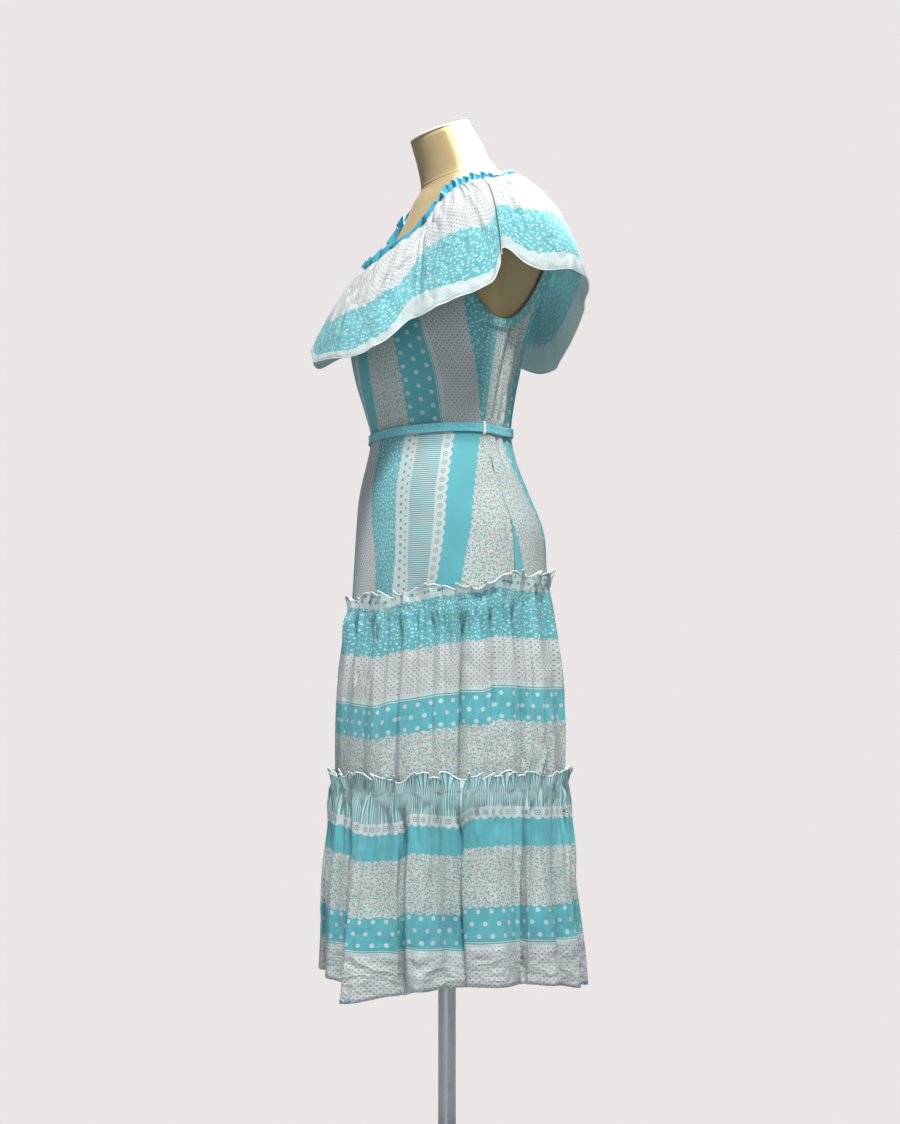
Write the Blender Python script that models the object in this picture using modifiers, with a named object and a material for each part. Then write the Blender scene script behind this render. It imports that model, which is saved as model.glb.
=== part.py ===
# A cotton sundress worn on a limbless dress form with a round-based stand.
# Units are metres, +Z is up, the floor is z = 0, the dress faces -Y and the wearer's left is +X.
# Angles run in degrees round the body: 0 is the front, 90 the wearer's left, 180 the back.
import math

import bmesh
import bpy
import numpy as np
from mathutils import Vector

GAP = 0.0004            # clearance left between pieces that are sewn or stood together
SEAM_GAP = 0.0009       # clearance between two panels at their seam, on the right side
WALL = 0.0013           # thickness of every cloth wall
EASE = 0.0040           # distance from the form to the right side of the fitted cloth
WAIST = 1.0560          # level of the waist seam
SEAM_DEG = 107.5        # angle of the side seams
SHOULDER_DEG = 99.0     # angle of the shoulder seams at the neck
HEAD_1 = 0.8210         # mean level of the stitching that gathers the first tier
HEAD_1_TILT = 0.0200    # it runs lower at the front and higher at the back
HEAD_2 = 0.5510         # mean level of the stitching that gathers the second tier
HEAD_TALL = 0.0200      # height of the frill that stands above each line of stitching
LAP = 0.0100            # how far a panel runs down behind the tier sewn on it
WAVES_1 = 26            # gathers round the first heading
WAVES_2 = 34            # gathers round the second heading
WAVES_NECK = 27         # gathers round the neck frill
BELT_HALF = 0.0064      # half the width of the belt
BELT_THICK = 0.0018
BINDING = 0.0110        # width of the armhole binding
FRILL_TALL = 0.0110     # height of the neck frill
POLE_R = 0.0130
BASE_R = 0.1650
BASE_H = 0.0120

# Torso and neck of the form. Columns: level, height at the front, side and back, half width,
# y of the front, y of the back, y of the widest point, squareness of the back, tilt power.
BODY = np.array([
    (0.745, 0.745, 0.745, 0.745, 0.158, -0.1150, 0.1260, 0.003, 2.0, 2.0),
    (0.800, 0.800, 0.800, 0.800, 0.166, -0.1220, 0.1330, 0.004, 2.0, 2.0),
    (0.864, 0.864, 0.864, 0.864, 0.168, -0.1240, 0.1340, 0.004, 2.0, 2.0),
    (0.920, 0.920, 0.920, 0.920, 0.162, -0.1220, 0.1300, 0.002, 2.0, 2.0),
    (0.971, 0.971, 0.971, 0.971, 0.149, -0.1190, 0.1100, -0.003, 2.0, 2.0),
    (1.011, 1.011, 1.011, 1.011, 0.134, -0.1110, 0.0950, -0.007, 2.0, 2.0),
    (1.056, 1.056, 1.056, 1.056, 0.120, -0.1050, 0.0860, -0.009, 2.0, 2.0),
    (1.100, 1.100, 1.100, 1.100, 0.127, -0.1165, 0.0900, -0.010, 2.0, 2.0),
    (1.150, 1.150, 1.150, 1.150, 0.137, -0.1285, 0.0980, -0.010, 2.1, 2.0),
    (1.195, 1.195, 1.195, 1.195, 0.145, -0.1310, 0.1060, -0.009, 2.2, 2.0),
    (1.235, 1.235, 1.235, 1.235, 0.150, -0.1320, 0.1170, -0.006, 2.4, 2.0),
    (1.270, 1.270, 1.270, 1.270, 0.155, -0.1180, 0.1300, 0.001, 2.6, 2.0),
    (1.305, 1.305, 1.305, 1.305, 0.162, -0.0980, 0.1400, 0.010, 2.8, 2.0),
    (1.338, 1.335, 1.332, 1.342, 0.168, -0.0790, 0.1360, 0.016, 2.8, 2.0),
    (1.368, 1.362, 1.358, 1.377, 0.163, -0.0660, 0.1230, 0.020, 2.6, 2.0),
    (1.394, 1.386, 1.379, 1.407, 0.143, -0.0550, 0.1060, 0.020, 2.4, 2.0),
    (1.414, 1.405, 1.398, 1.431, 0.112, -0.0470, 0.0900, 0.020, 2.2, 2.0),
    (1.430, 1.416, 1.419, 1.448, 0.082, -0.0400, 0.0780, 0.018, 2.1, 1.5),
    (1.443, 1.424, 1.441, 1.459, 0.063, -0.0365, 0.0675, 0.0155, 2.0, 1.0),
    (1.466, 1.459, 1.464, 1.472, 0.056, -0.0430, 0.0590, 0.008, 2.0, 1.0),
    (1.485, 1.476, 1.484, 1.493, 0.053, -0.0485, 0.0490, 0.000, 2.0, 1.0),
    (1.504, 1.490, 1.504, 1.519, 0.050, -0.0525, 0.0310, -0.0108, 2.0, 1.0),
])
# Fullness of the bust and hollows below the shoulders. Columns: level, push outward.
BUST = np.array([(1.100, 0.0), (1.150, 0.004), (1.195, 0.010), (1.235, 0.013), (1.270, 0.008),
                 (1.305, 0.000), (1.335, -0.006), (1.365, -0.010), (1.394, -0.009),
                 (1.414, -0.005), (1.430, -0.002), (1.443, 0.0)])
BUST_DEG = 33.0
BUST_SPREAD = 17.0
# Neckline of the dress. Columns: angle from the front, level on the body.
NECKLINE = np.array([(0.0, 1.286), (6.0, 1.290), (15.0, 1.302), (22.0, 1.318), (27.0, 1.333),
                     (33.0, 1.353), (39.0, 1.374), (46.0, 1.391), (57.0, 1.405), (75.0, 1.415),
                     (95.0, 1.420), (130.0, 1.4220), (180.0, 1.4220)])
# The neckline stands off the chest at the centre front. Columns: level, extra ease.
BRIDGE = np.array([(1.200, 0.0), (1.240, 0.003), (1.270, 0.008), (1.300, 0.013), (1.400, 0.013)])
BRIDGE_DEG = 19.0
BLADE_EASE = 0.0024     # the back stands off the form beside the shoulder blades
BLADE_LEVEL = 1.325
STRAP_EASE = 0.0018     # the straps ride a little above the shoulders
BLADE_DEG = 130.0
# Armhole in the running height of the panels, 0 at the waist and 1 at the neckline.
ARM_MID = 0.634
ARM_HALF = 0.217
ARM_FRONT = 24.0        # degrees cut out of the front panel
ARM_BACK = 26.0         # degrees cut out of the back panel
# Skirt sections. Columns: level, half width, y of the front, y of the back.
YOKE = np.array([
    (0.790, 0.1815, -0.1375, 0.1445),
    (0.820, 0.1795, -0.1360, 0.1430),
    (0.864, 0.1765, -0.1335, 0.1410),
    (0.920, 0.1695, -0.1305, 0.1365),
    (0.971, 0.1555, -0.1265, 0.1160),
    (1.011, 0.1400, -0.1180, 0.1000),
    (1.030, 0.1320, -0.1135, 0.0945),
    (1.056, 0.1240, -0.1090, 0.0900),
])
TIER_1 = np.array([
    (0.530, 0.2080, -0.1610, 0.1680),
    (0.576, 0.2080, -0.1625, 0.1680),
    (0.630, 0.2060, -0.1625, 0.1700),
    (0.685, 0.2020, -0.1600, 0.1680),
    (0.745, 0.1950, -0.1530, 0.1620),
    (0.790, 0.1875, -0.1450, 0.1535),
    (0.820, 0.1827, -0.1392, 0.1464),
    (0.870, 0.1822, -0.1387, 0.1461),
])
TIER_2 = np.array([
    (0.240, 0.2350, -0.1920, 0.2050),
    (0.276, 0.2330, -0.1900, 0.2040),
    (0.361, 0.2290, -0.1870, 0.1940),
    (0.417, 0.2260, -0.1835, 0.1865),
    (0.473, 0.2220, -0.1775, 0.1850),
    (0.522, 0.2165, -0.1725, 0.1770),
    (0.550, 0.2113, -0.1656, 0.1712),
    (0.590, 0.2113, -0.1656, 0.1712),
])
# Soft folds of the first tier at its lower edge. Columns: angle, push outward.
FOLDS_1 = np.array([
    (5.0, 0.0), (16.0, -0.005), (27.0, 0.0), (40.0, -0.004), (48.0, 0.0), (56.0, -0.003),
    (64.0, 0.0), (73.0, -0.009), (81.0, 0.0), (89.5, -0.004), (98.0, 0.0), (106.5, -0.006),
    (118.0, 0.0), (129.0, -0.006), (140.0, 0.0), (151.0, -0.005), (163.0, 0.0), (174.0, -0.006),
    (186.0, 0.0), (197.0, -0.004), (208.0, 0.0), (219.0, -0.007), (231.0, 0.0), (243.0, -0.005),
    (254.0, 0.0), (266.0, -0.008), (278.0, 0.0), (290.0, -0.005), (301.0, 0.0), (313.0, -0.006),
    (330.0, 0.0), (349.0, -0.005),
])
# Flutes of the hem. Columns: angle, push outward, level of the hem.
FLUTES = np.array([
    (5.0, 0.001, 0.2750), (18.0, -0.024, 0.2680), (27.5, 0.027, 0.2520), (45.0, -0.021, 0.2650),
    (56.0, 0.003, 0.2740), (68.0, -0.034, 0.2760), (88.0, 0.003, 0.2810), (103.5, -0.027, 0.2800),
    (115.0, 0.003, 0.2770), (124.5, -0.019, 0.2720), (134.0, 0.001, 0.2660),
    (147.0, -0.022, 0.2640), (160.0, 0.000, 0.2580), (174.0, -0.025, 0.2640),
    (188.0, 0.002, 0.2620), (203.0, -0.028, 0.2680), (217.0, 0.003, 0.2660),
    (232.0, -0.024, 0.2700), (246.0, 0.004, 0.2690), (262.0, -0.031, 0.2740),
    (277.0, 0.004, 0.2730), (292.0, -0.026, 0.2760), (306.0, 0.002, 0.2710),
    (321.0, -0.024, 0.2720), (334.0, 0.000, 0.2740), (349.0, -0.018, 0.2750),
])
# The collar flounce. Columns: angle on the neckline, hem x, y and z, how far out its crown
# stands as a share of its reach, height of the crown against the neckline.
FLOUNCE = np.array([
    (0.0, 0.000, -0.200, 1.160, 0.55, -0.045),
    (14.0, 0.070, -0.198, 1.154, 0.55, -0.040),
    (24.0, 0.132, -0.181, 1.149, 0.56, -0.036),
    (30.0, 0.160, -0.148, 1.163, 0.55, -0.038),
    (36.0, 0.167, -0.111, 1.193, 0.53, -0.043),
    (42.0, 0.198, -0.094, 1.203, 0.57, -0.036),
    (50.0, 0.220, -0.064, 1.217, 0.60, -0.028),
    (62.0, 0.236, -0.017, 1.238, 0.62, -0.012),
    (76.0, 0.224, 0.004, 1.266, 0.66, 0.000),
    (92.0, 0.200, 0.019, 1.298, 0.70, 0.004),
    (108.0, 0.205, 0.064, 1.270, 0.70, 0.001),
    (125.0, 0.179, 0.127, 1.279, 0.65, -0.012),
    (142.0, 0.123, 0.172, 1.274, 0.60, -0.024),
    (158.0, 0.070, 0.187, 1.244, 0.60, -0.026),
    (176.0, 0.008, 0.186, 1.197, 0.60, -0.028),
    (194.0, -0.055, 0.183, 1.173, 0.62, -0.022),
    (212.0, -0.124, 0.166, 1.186, 0.68, 0.000),
    (234.0, -0.188, 0.120, 1.232, 0.72, 0.012),
    (262.0, -0.206, 0.028, 1.290, 0.72, 0.010),
    (290.0, -0.232, -0.022, 1.242, 0.63, -0.008),
    (310.0, -0.212, -0.078, 1.212, 0.60, -0.028),
    (324.0, -0.174, -0.118, 1.196, 0.56, -0.040),
    (335.0, -0.128, -0.163, 1.172, 0.56, -0.038),
    (347.0, -0.062, -0.189, 1.184, 0.55, -0.038),
])
FLOUNCE_SPLIT = (8.5, 17.6)   # rows of that table between which the back flounce runs
FLOUNCE_SEAM = 0.017          # half the gap between the flounces, in rows of that table

MATERIALS = {
    "printed_cotton": ((0.46, 0.74, 0.76), 0.85, 0.0),
    "trim_cotton": ((0.16, 0.52, 0.58), 0.85, 0.0),
    "loop_cotton": ((0.85, 0.86, 0.84), 0.85, 0.0),
    "form_canvas": ((0.78, 0.70, 0.52), 0.80, 0.0),
    "cap_ivory": ((0.88, 0.85, 0.78), 0.55, 0.0),
    "stand_steel": ((0.55, 0.56, 0.57), 0.35, 0.9),
}


def clear_scene():
    for item in list(bpy.data.objects):
        bpy.data.objects.remove(item, do_unlink=True)


def new_material(name):
    color, rough, metal = MATERIALS[name]
    mat = bpy.data.materials.new(name)
    mat.use_nodes = True
    shader = mat.node_tree.nodes["Principled BSDF"]
    shader.inputs["Base Color"].default_value = (*color, 1.0)
    shader.inputs["Roughness"].default_value = rough
    shader.inputs["Metallic"].default_value = metal
    return mat


def table_at(table, key):
    """All columns of a table at a key of its first column, on a smooth curve."""
    keys = table[:, 0]
    key = min(max(key, keys[0]), keys[-1])
    last = len(keys) - 1
    i = min(max(int(np.searchsorted(keys, key, side="right")) - 1, 0), last - 1)

    def slope(j):
        lo = max(j - 1, 0)
        hi = min(j + 1, last)
        if lo == j or hi == j:
            return (table[hi] - table[lo]) / (keys[hi] - keys[lo])
        before = (table[j] - table[lo]) / (keys[j] - keys[lo])
        after = (table[hi] - table[j]) / (keys[hi] - keys[j])
        share = (keys[hi] - keys[j]) / (keys[hi] - keys[lo])
        return before * share + after * (1.0 - share)

    span = keys[i + 1] - keys[i]
    u = (key - keys[i]) / span
    return (table[i] * (2 * u**3 - 3 * u**2 + 1) + slope(i) * span * (u**3 - 2 * u**2 + u)
            + table[i + 1] * (-2 * u**3 + 3 * u**2) + slope(i + 1) * span * (u**3 - u**2))


def round_table(table, deg):
    """Eased value of every column between the rows of a table that runs round the body."""
    keys = table[:, 0]
    deg = (deg - keys[0]) % 360.0 + keys[0]
    i = int(np.searchsorted(keys, deg, side="right")) - 1
    after = (i + 1) % len(keys)
    end = keys[after] + (360.0 if after == 0 else 0.0)
    u = (deg - keys[i]) / (end - keys[i])
    return table[i] + (table[after] - table[i]) * (0.5 - 0.5 * math.cos(math.pi * u))


def signed(deg):
    return (deg + 180.0) % 360.0 - 180.0


def body(deg, level):
    """Point on the form."""
    (_, z_front, z_side, z_back, half, y_front, y_back, y_mid, square, tilt) = table_at(BODY, level)
    s = math.sin(math.radians(deg))
    c = math.cos(math.radians(deg))
    if c >= 0.0:
        x = half * s
        y = y_mid + (y_front - y_mid) * c
        z = z_side + (z_front - z_side) * c**tilt
    else:
        x = half * math.copysign(abs(s)**(2.0 / square), s)
        y = y_mid + (y_back - y_mid) * (-c)**(2.0 / square)
        z = z_side + (z_back - z_side) * (-c)**tilt
    full = float(np.interp(level, BUST[:, 0], BUST[:, 1]))
    full *= math.exp(-((abs(signed(deg)) - BUST_DEG) / BUST_SPREAD)**2)
    reach = math.hypot(x, y - y_mid)
    return np.array((x + full * x / reach, y + full * (y - y_mid) / reach, z))


def normal_of(surface, a, b, step_a, step_b):
    """Unit normal of a surface function of two values."""
    n = np.cross(surface(a + step_a, b) - surface(a - step_a, b),
                 surface(a, b + step_b) - surface(a, b - step_b))
    return n / np.linalg.norm(n)


def bodice(deg, level):
    """Right side of the fitted bodice."""
    extra = float(np.interp(level, BRIDGE[:, 0], BRIDGE[:, 1]))
    extra *= math.exp(-(signed(deg) / BRIDGE_DEG)**2)
    blade = math.exp(-((level - BLADE_LEVEL) / 0.045)**2)
    extra += BLADE_EASE * blade * math.exp(-((abs(signed(deg)) - BLADE_DEG) / 22.0)**2)
    extra += STRAP_EASE * min(max((level - 1.335) / 0.035, 0.0), 1.0)
    return body(deg, level) + normal_of(body, deg, level, 0.5, 0.002) * (EASE + extra)


def neck_level(deg):
    return float(table_at(NECKLINE, abs(signed(deg)))[1])


def panel(deg, run):
    """Bodice point at a running height: 0 is the waist seam, 1 the neckline."""
    return bodice(deg, WAIST + GAP / 2 + (neck_level(deg) - WAIST) * run)


def seam_deg(run):
    """Angle of the side seam, and above the armhole of the shoulder seam."""
    u = min(max((run - 0.45) / 0.4, 0.0), 1.0)
    return SEAM_DEG + (SHOULDER_DEG - SEAM_DEG) * u * u * (3 - 2 * u)


def arm_cut(run):
    """Share of the armhole width at a running height."""
    q = (run - ARM_MID) / ARM_HALF
    return math.sqrt(max(0.0, 1.0 - q * q))


def skirt(table, deg, level, push=0.0):
    """Point of a skirt section moved outward by a push."""
    half, y_front, y_back = table_at(table, level)[1:]
    mid = (y_front + y_back) / 2
    depth = (y_back - y_front) / 2
    s = math.sin(math.radians(deg))
    c = math.cos(math.radians(deg))
    out = np.array((s / half, -c / depth, 0.0))
    out /= np.linalg.norm(out)
    return np.array((half * s, mid - depth * c, level)) + out * push


def head_1(deg):
    return HEAD_1 - HEAD_1_TILT * math.cos(math.radians(deg))


def head_2(deg):
    dip = 0.006 * math.exp(-(signed(deg - 35.0) / 22.0)**2)
    return HEAD_2 - 0.002 * math.cos(math.radians(deg)) - dip


def gather(deg, waves, drift):
    """Uneven gathers between -1 and 1 round the body."""
    a = math.radians(deg)
    return math.cos(waves * a + drift * math.sin(3 * a + 0.7) + 0.6 * drift * math.sin(7 * a))


def tier_1(deg, run):
    """Right side of the first tier: run 0 is the stitching, 1 the lower edge, -1 the frill top."""
    wave = gather(deg, WAVES_1, 1.1)
    top = head_1(deg)
    if run <= 0.0:
        flop = 0.007 * math.exp(-(signed(deg - 84.0) / 12.0)**2)
        push = -run * (0.0048 + flop) + wave * (0.0015 - run * 0.0034)
        drop = run * run * flop * 0.9
        return skirt(TIER_1, deg, top - run * HEAD_TALL - drop, push)
    level = top + (head_2(deg) - LAP - top) * run
    fade = math.exp(-run * 3.2)
    puff = 0.004 * math.exp(-((run - 0.07) / 0.07)**2)
    fold = round_table(FOLDS_1, deg)[1] * min(1.0, run * 3.0)
    return skirt(TIER_1, deg, level, puff + wave * 0.0030 * fade + fold)


def tier_2(deg, run):
    """Right side of the second tier, run as for the first."""
    wave = gather(deg, WAVES_2, 1.4)
    top = head_2(deg)
    if run <= 0.0:
        return skirt(TIER_2, deg, top - run * HEAD_TALL, -run * 0.0048 + wave * (0.0015 - run * 0.0034))
    _, push, hem = round_table(FLUTES, deg)
    level = top + (hem - top) * run
    fade = math.exp(-run * 3.4)
    return skirt(TIER_2, deg, level, wave * 0.0030 * fade + push * run**1.25)


def flounce_row(place):
    """Columns of the flounce table at a running row, smooth round the closed ring."""
    n = len(FLOUNCE)
    i = int(math.floor(place))
    u = place - i
    rows = []
    for j in (i - 1, i, i + 1, i + 2):
        row = FLOUNCE[j % n].copy()
        row[0] += 360.0 * (j // n)
        rows.append(row)
    a, b, c, d = rows
    return 0.5 * (2 * b + (c - a) * u + (2 * a - 5 * b + 4 * c - d) * u * u
                  + (3 * b - a - 3 * c + d) * u**3)


def neck_point(deg, up, out):
    """Point beside the neckline: up along the body toward the neck, out from its surface."""
    level = neck_level(deg)
    here = bodice(deg, level)
    along = bodice(deg, level + 0.004) - here
    along /= np.linalg.norm(along)
    return here + along * up + normal_of(bodice, deg, level, 0.5, 0.002) * out


def flounce(place, run):
    """Middle of the collar flounce: run 0 is the neckline, 1 its hem."""
    deg, x, y, z, reach, rise = flounce_row(place)
    start = neck_point(deg, -0.0030, 0.0024)
    end = np.array((x, y, z))
    crown = start + (end - start) * reach
    crown[2] = start[2] + rise
    return start * (1 - run)**2 + crown * 2 * run * (1 - run) + end * run**2


def neck_frill(deg, run):
    """Middle of the neck frill: run 0 is the seam, 1 the wavy free edge."""
    wave = gather(deg, WAVES_NECK, 1.0)
    lean = 0.62 + 0.28 * math.cos(math.radians(deg))
    up = 0.0011 + FRILL_TALL * run * lean
    out = 0.0013 + FRILL_TALL * run * math.sqrt(1.0 - lean * lean)
    point = neck_point(deg, up, out)
    side = neck_point(deg, up + 0.004, out - 0.003) - point
    side /= np.linalg.norm(side)
    return point + side * wave * (0.0002 + 0.0042 * run)


def skin(name, rows, closed, material, thick, inward=1.0):
    """A cloth wall: a lofted skin through rows of points, thickened by a modifier."""
    bm = bmesh.new()
    lines = [[bm.verts.new(Vector(p)) for p in row] for row in rows]
    for upper, lower in zip(lines, lines[1:]):
        bridge(bm, upper, lower, closed)
    bm.normal_update()
    facing = sum(f.normal.dot(Vector((f.calc_center_median().x, f.calc_center_median().y, 0.0)))
                 * f.calc_area() for f in bm.faces)
    if facing < 0.0:
        bmesh.ops.reverse_faces(bm, faces=bm.faces)
    obj = finish_mesh(name, bm, material)
    wall = obj.modifiers.new("wall", "SOLIDIFY")
    wall.thickness = thick
    wall.offset = -1.0 * inward
    wall.use_even_offset = True
    wall.use_quality_normals = True
    return obj


def bridge(bm, upper, lower, closed):
    """Faces between two rows, also where they differ in their count of points."""
    n, m = len(upper), len(lower)
    if n == m:
        for i in range(n if closed else n - 1):
            k = (i + 1) % n
            bm.faces.new((upper[i], upper[k], lower[k], lower[i]))
        return
    i = j = 0
    while i < n or j < m:
        if j >= m or (i < n and (i + 1) * m <= (j + 1) * n):
            bm.faces.new((upper[i % n], upper[(i + 1) % n], lower[j % m]))
            i += 1
        else:
            bm.faces.new((upper[i % n], lower[(j + 1) % m], lower[j % m]))
            j += 1


def closed_body(name, rows, material):
    """A solid lofted through closed rows and shut by a fan at each end."""
    bm = bmesh.new()
    lines = [[bm.verts.new(Vector(p)) for p in row] for row in rows]
    for upper, lower in zip(lines, lines[1:]):
        bridge(bm, upper, lower, True)
    for line in (lines[0], lines[-1]):
        centre = bm.verts.new(sum((v.co for v in line), Vector()) / len(line))
        for i in range(len(line)):
            bm.faces.new((line[i], line[(i + 1) % len(line)], centre))
    bmesh.ops.recalc_face_normals(bm, faces=bm.faces)
    return finish_mesh(name, bm, material)


def finish_mesh(name, bm, material):
    mesh = bpy.data.meshes.new(name)
    bm.to_mesh(mesh)
    bm.free()
    obj = bpy.data.objects.new(name, mesh)
    mesh.materials.append(material)
    for face in mesh.polygons:
        face.use_smooth = True
    bpy.data.collections["sundress_on_form"].objects.link(obj)
    return obj


def ring(surface, count, value):
    return [surface(360.0 * i / count, value) for i in range(count)]


def panel_rows(half_degs, runs, back):
    """Rows of a bodice panel across the body, each cut to the armhole at both sides."""
    rows = []
    for run in runs:
        cut = arm_cut(run)
        if back:
            edge = 180.0 - seam_deg(run) - ARM_BACK * cut
        else:
            edge = seam_deg(run) - ARM_FRONT * cut
        edge -= math.degrees(SEAM_GAP / 2 / 0.13)
        middle = 180.0 if back else 0.0
        rows.append([panel(middle + share * edge, run) for share in half_degs])
    return rows


def mirror_shares(shares):
    return [-s for s in reversed(shares[1:])] + list(shares)


def panel_runs():
    return [0.0, 0.14, 0.28] + arm_runs() + [0.93, 1.0]


def arm_runs():
    return [ARM_MID - ARM_HALF * math.cos(math.pi * k / 8) for k in range(9)]


def binding_rows(side):
    """The armhole binding: an angle section that covers the cut edge and lies on the panels."""
    arm = arm_runs()
    spots = [(seam_deg(r) - ARM_FRONT * arm_cut(r), r) for r in arm]
    spots += [(seam_deg(r) + ARM_BACK * arm_cut(r), r) for r in reversed(arm[1:-1])]
    centre = np.array((seam_deg(ARM_MID), ARM_MID))
    loop = []
    for i, (deg, run) in enumerate(spots):
        here = panel(side * deg, run)
        n = normal_of(lambda d, r: panel(side * d, r), deg, run, 0.5, 0.004) * side
        before = spots[i - 1]
        after = spots[(i + 1) % len(spots)]
        tangent = panel(side * after[0], after[1]) - panel(side * before[0], before[1])
        away = np.cross(n, tangent)
        away /= np.linalg.norm(away)
        probe = panel(side * centre[0], centre[1]) - here
        if away.dot(probe) > 0.0:
            away = -away
        on = 0.0013 + 0.0016 * max(0.0, (run - 0.6) / 0.25)**2
        lip = 0.0008
        across = np.column_stack((panel(side * (deg + 0.5), run) - panel(side * (deg - 0.5), run),
                                  panel(side * deg, run + 0.005) - panel(side * deg, run - 0.005)))
        step = np.linalg.lstsq(across, away * BINDING, rcond=None)[0]
        far = panel(side * (deg + step[0]), run + step[1] * 0.01)
        loop.append([far + n * on, far + n * (on + 0.0010), (here + far) / 2 + n * (on + 0.0014),
                     here - away * 0.0024 + n * (on + 0.0010), here - away * 0.0024 - n * lip,
                     here - away * 0.0014 - n * lip, here - away * 0.0014 + n * on])
    return loop


def tube_loop(name, loops, material):
    """A closed ring of equal sections, such as a binding."""
    bm = bmesh.new()
    lines = [[bm.verts.new(Vector(p)) for p in loop] for loop in loops]
    for i, line in enumerate(lines):
        nxt = lines[(i + 1) % len(lines)]
        bridge(bm, line, nxt, True)
    bmesh.ops.recalc_face_normals(bm, faces=bm.faces)
    return finish_mesh(name, bm, material)


def waist_out(deg, level):
    """Right side of the dress at a level near the waist."""
    if level >= WAIST:
        return bodice(deg, level)
    return skirt(YOKE, deg, level)


def belt_mid(deg):
    """Level of the middle of the belt round the waist."""
    c = math.cos(math.radians(deg))
    sag = 0.0045 * math.exp(-(signed(abs(signed(deg)) - 128.0) / 22.0)**2)
    return 1.0585 - 0.0040 * c - sag


def belt_point(deg, up, out):
    level = belt_mid(deg)
    widest = max((waist_out(deg, level + k) for k in (-BELT_HALF, 0.0, BELT_HALF)),
                 key=lambda p: math.hypot(p[0], p[1]))
    a = math.radians(deg)
    n = np.array((math.sin(a), -math.cos(a), 0.0))
    here = waist_out(deg, level + up * 0.9)
    here = here * 0.4 + widest * 0.6
    return np.array((here[0], here[1], level + up)) + n * (0.0017 + out)


def belt_loop_rows(side):
    """A narrow carrier over the belt: a bent strip with both ends turned in to the dress."""
    rows = []
    for deg in (SEAM_DEG - 4.6, SEAM_DEG - 2.6):
        d = side * deg
        tall = BELT_HALF + 0.0014
        level = belt_mid(d)
        rows.append([
            waist_out(d, level + tall + 0.0022) + radial(d) * 0.0019,
            belt_point(d, tall, 0.0) + radial(d) * 0.0030,
            belt_point(d, BELT_HALF, BELT_THICK) + radial(d) * 0.0016,
            belt_point(d, 0.0, BELT_THICK) + radial(d) * 0.0018,
            belt_point(d, -BELT_HALF, BELT_THICK) + radial(d) * 0.0016,
            belt_point(d, -tall, 0.0) + radial(d) * 0.0030,
            waist_out(d, level - tall - 0.0022) + radial(d) * 0.0019,
        ])
    return rows


def radial(deg):
    a = math.radians(deg)
    return np.array((math.sin(a), -math.cos(a), 0.0))


def lathe(profile, count):
    """Rows of a turned part from its radius and height pairs."""
    return [[(r * math.cos(2 * math.pi * i / count), r * math.sin(2 * math.pi * i / count), z)
             for i in range(count)] for r, z in profile]


def neck_cap_rows():
    """Rows of the turned cap that closes the neck, square to its slope."""
    top = ring(body, 32, BODY[-1][0])
    middle = sum(top) / len(top)
    up = np.cross(top[8] - middle, top[16] - middle)
    up /= np.linalg.norm(up)
    if up[2] < 0.0:
        up = -up
    rows = []
    for grow, lift in ((0.985, GAP), (1.026, 0.0010), (1.026, 0.0026), (0.985, 0.0034), (0.50, 0.0040)):
        rows.append([middle + (p - middle) * grow + up * lift for p in top])
    return rows


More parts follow.
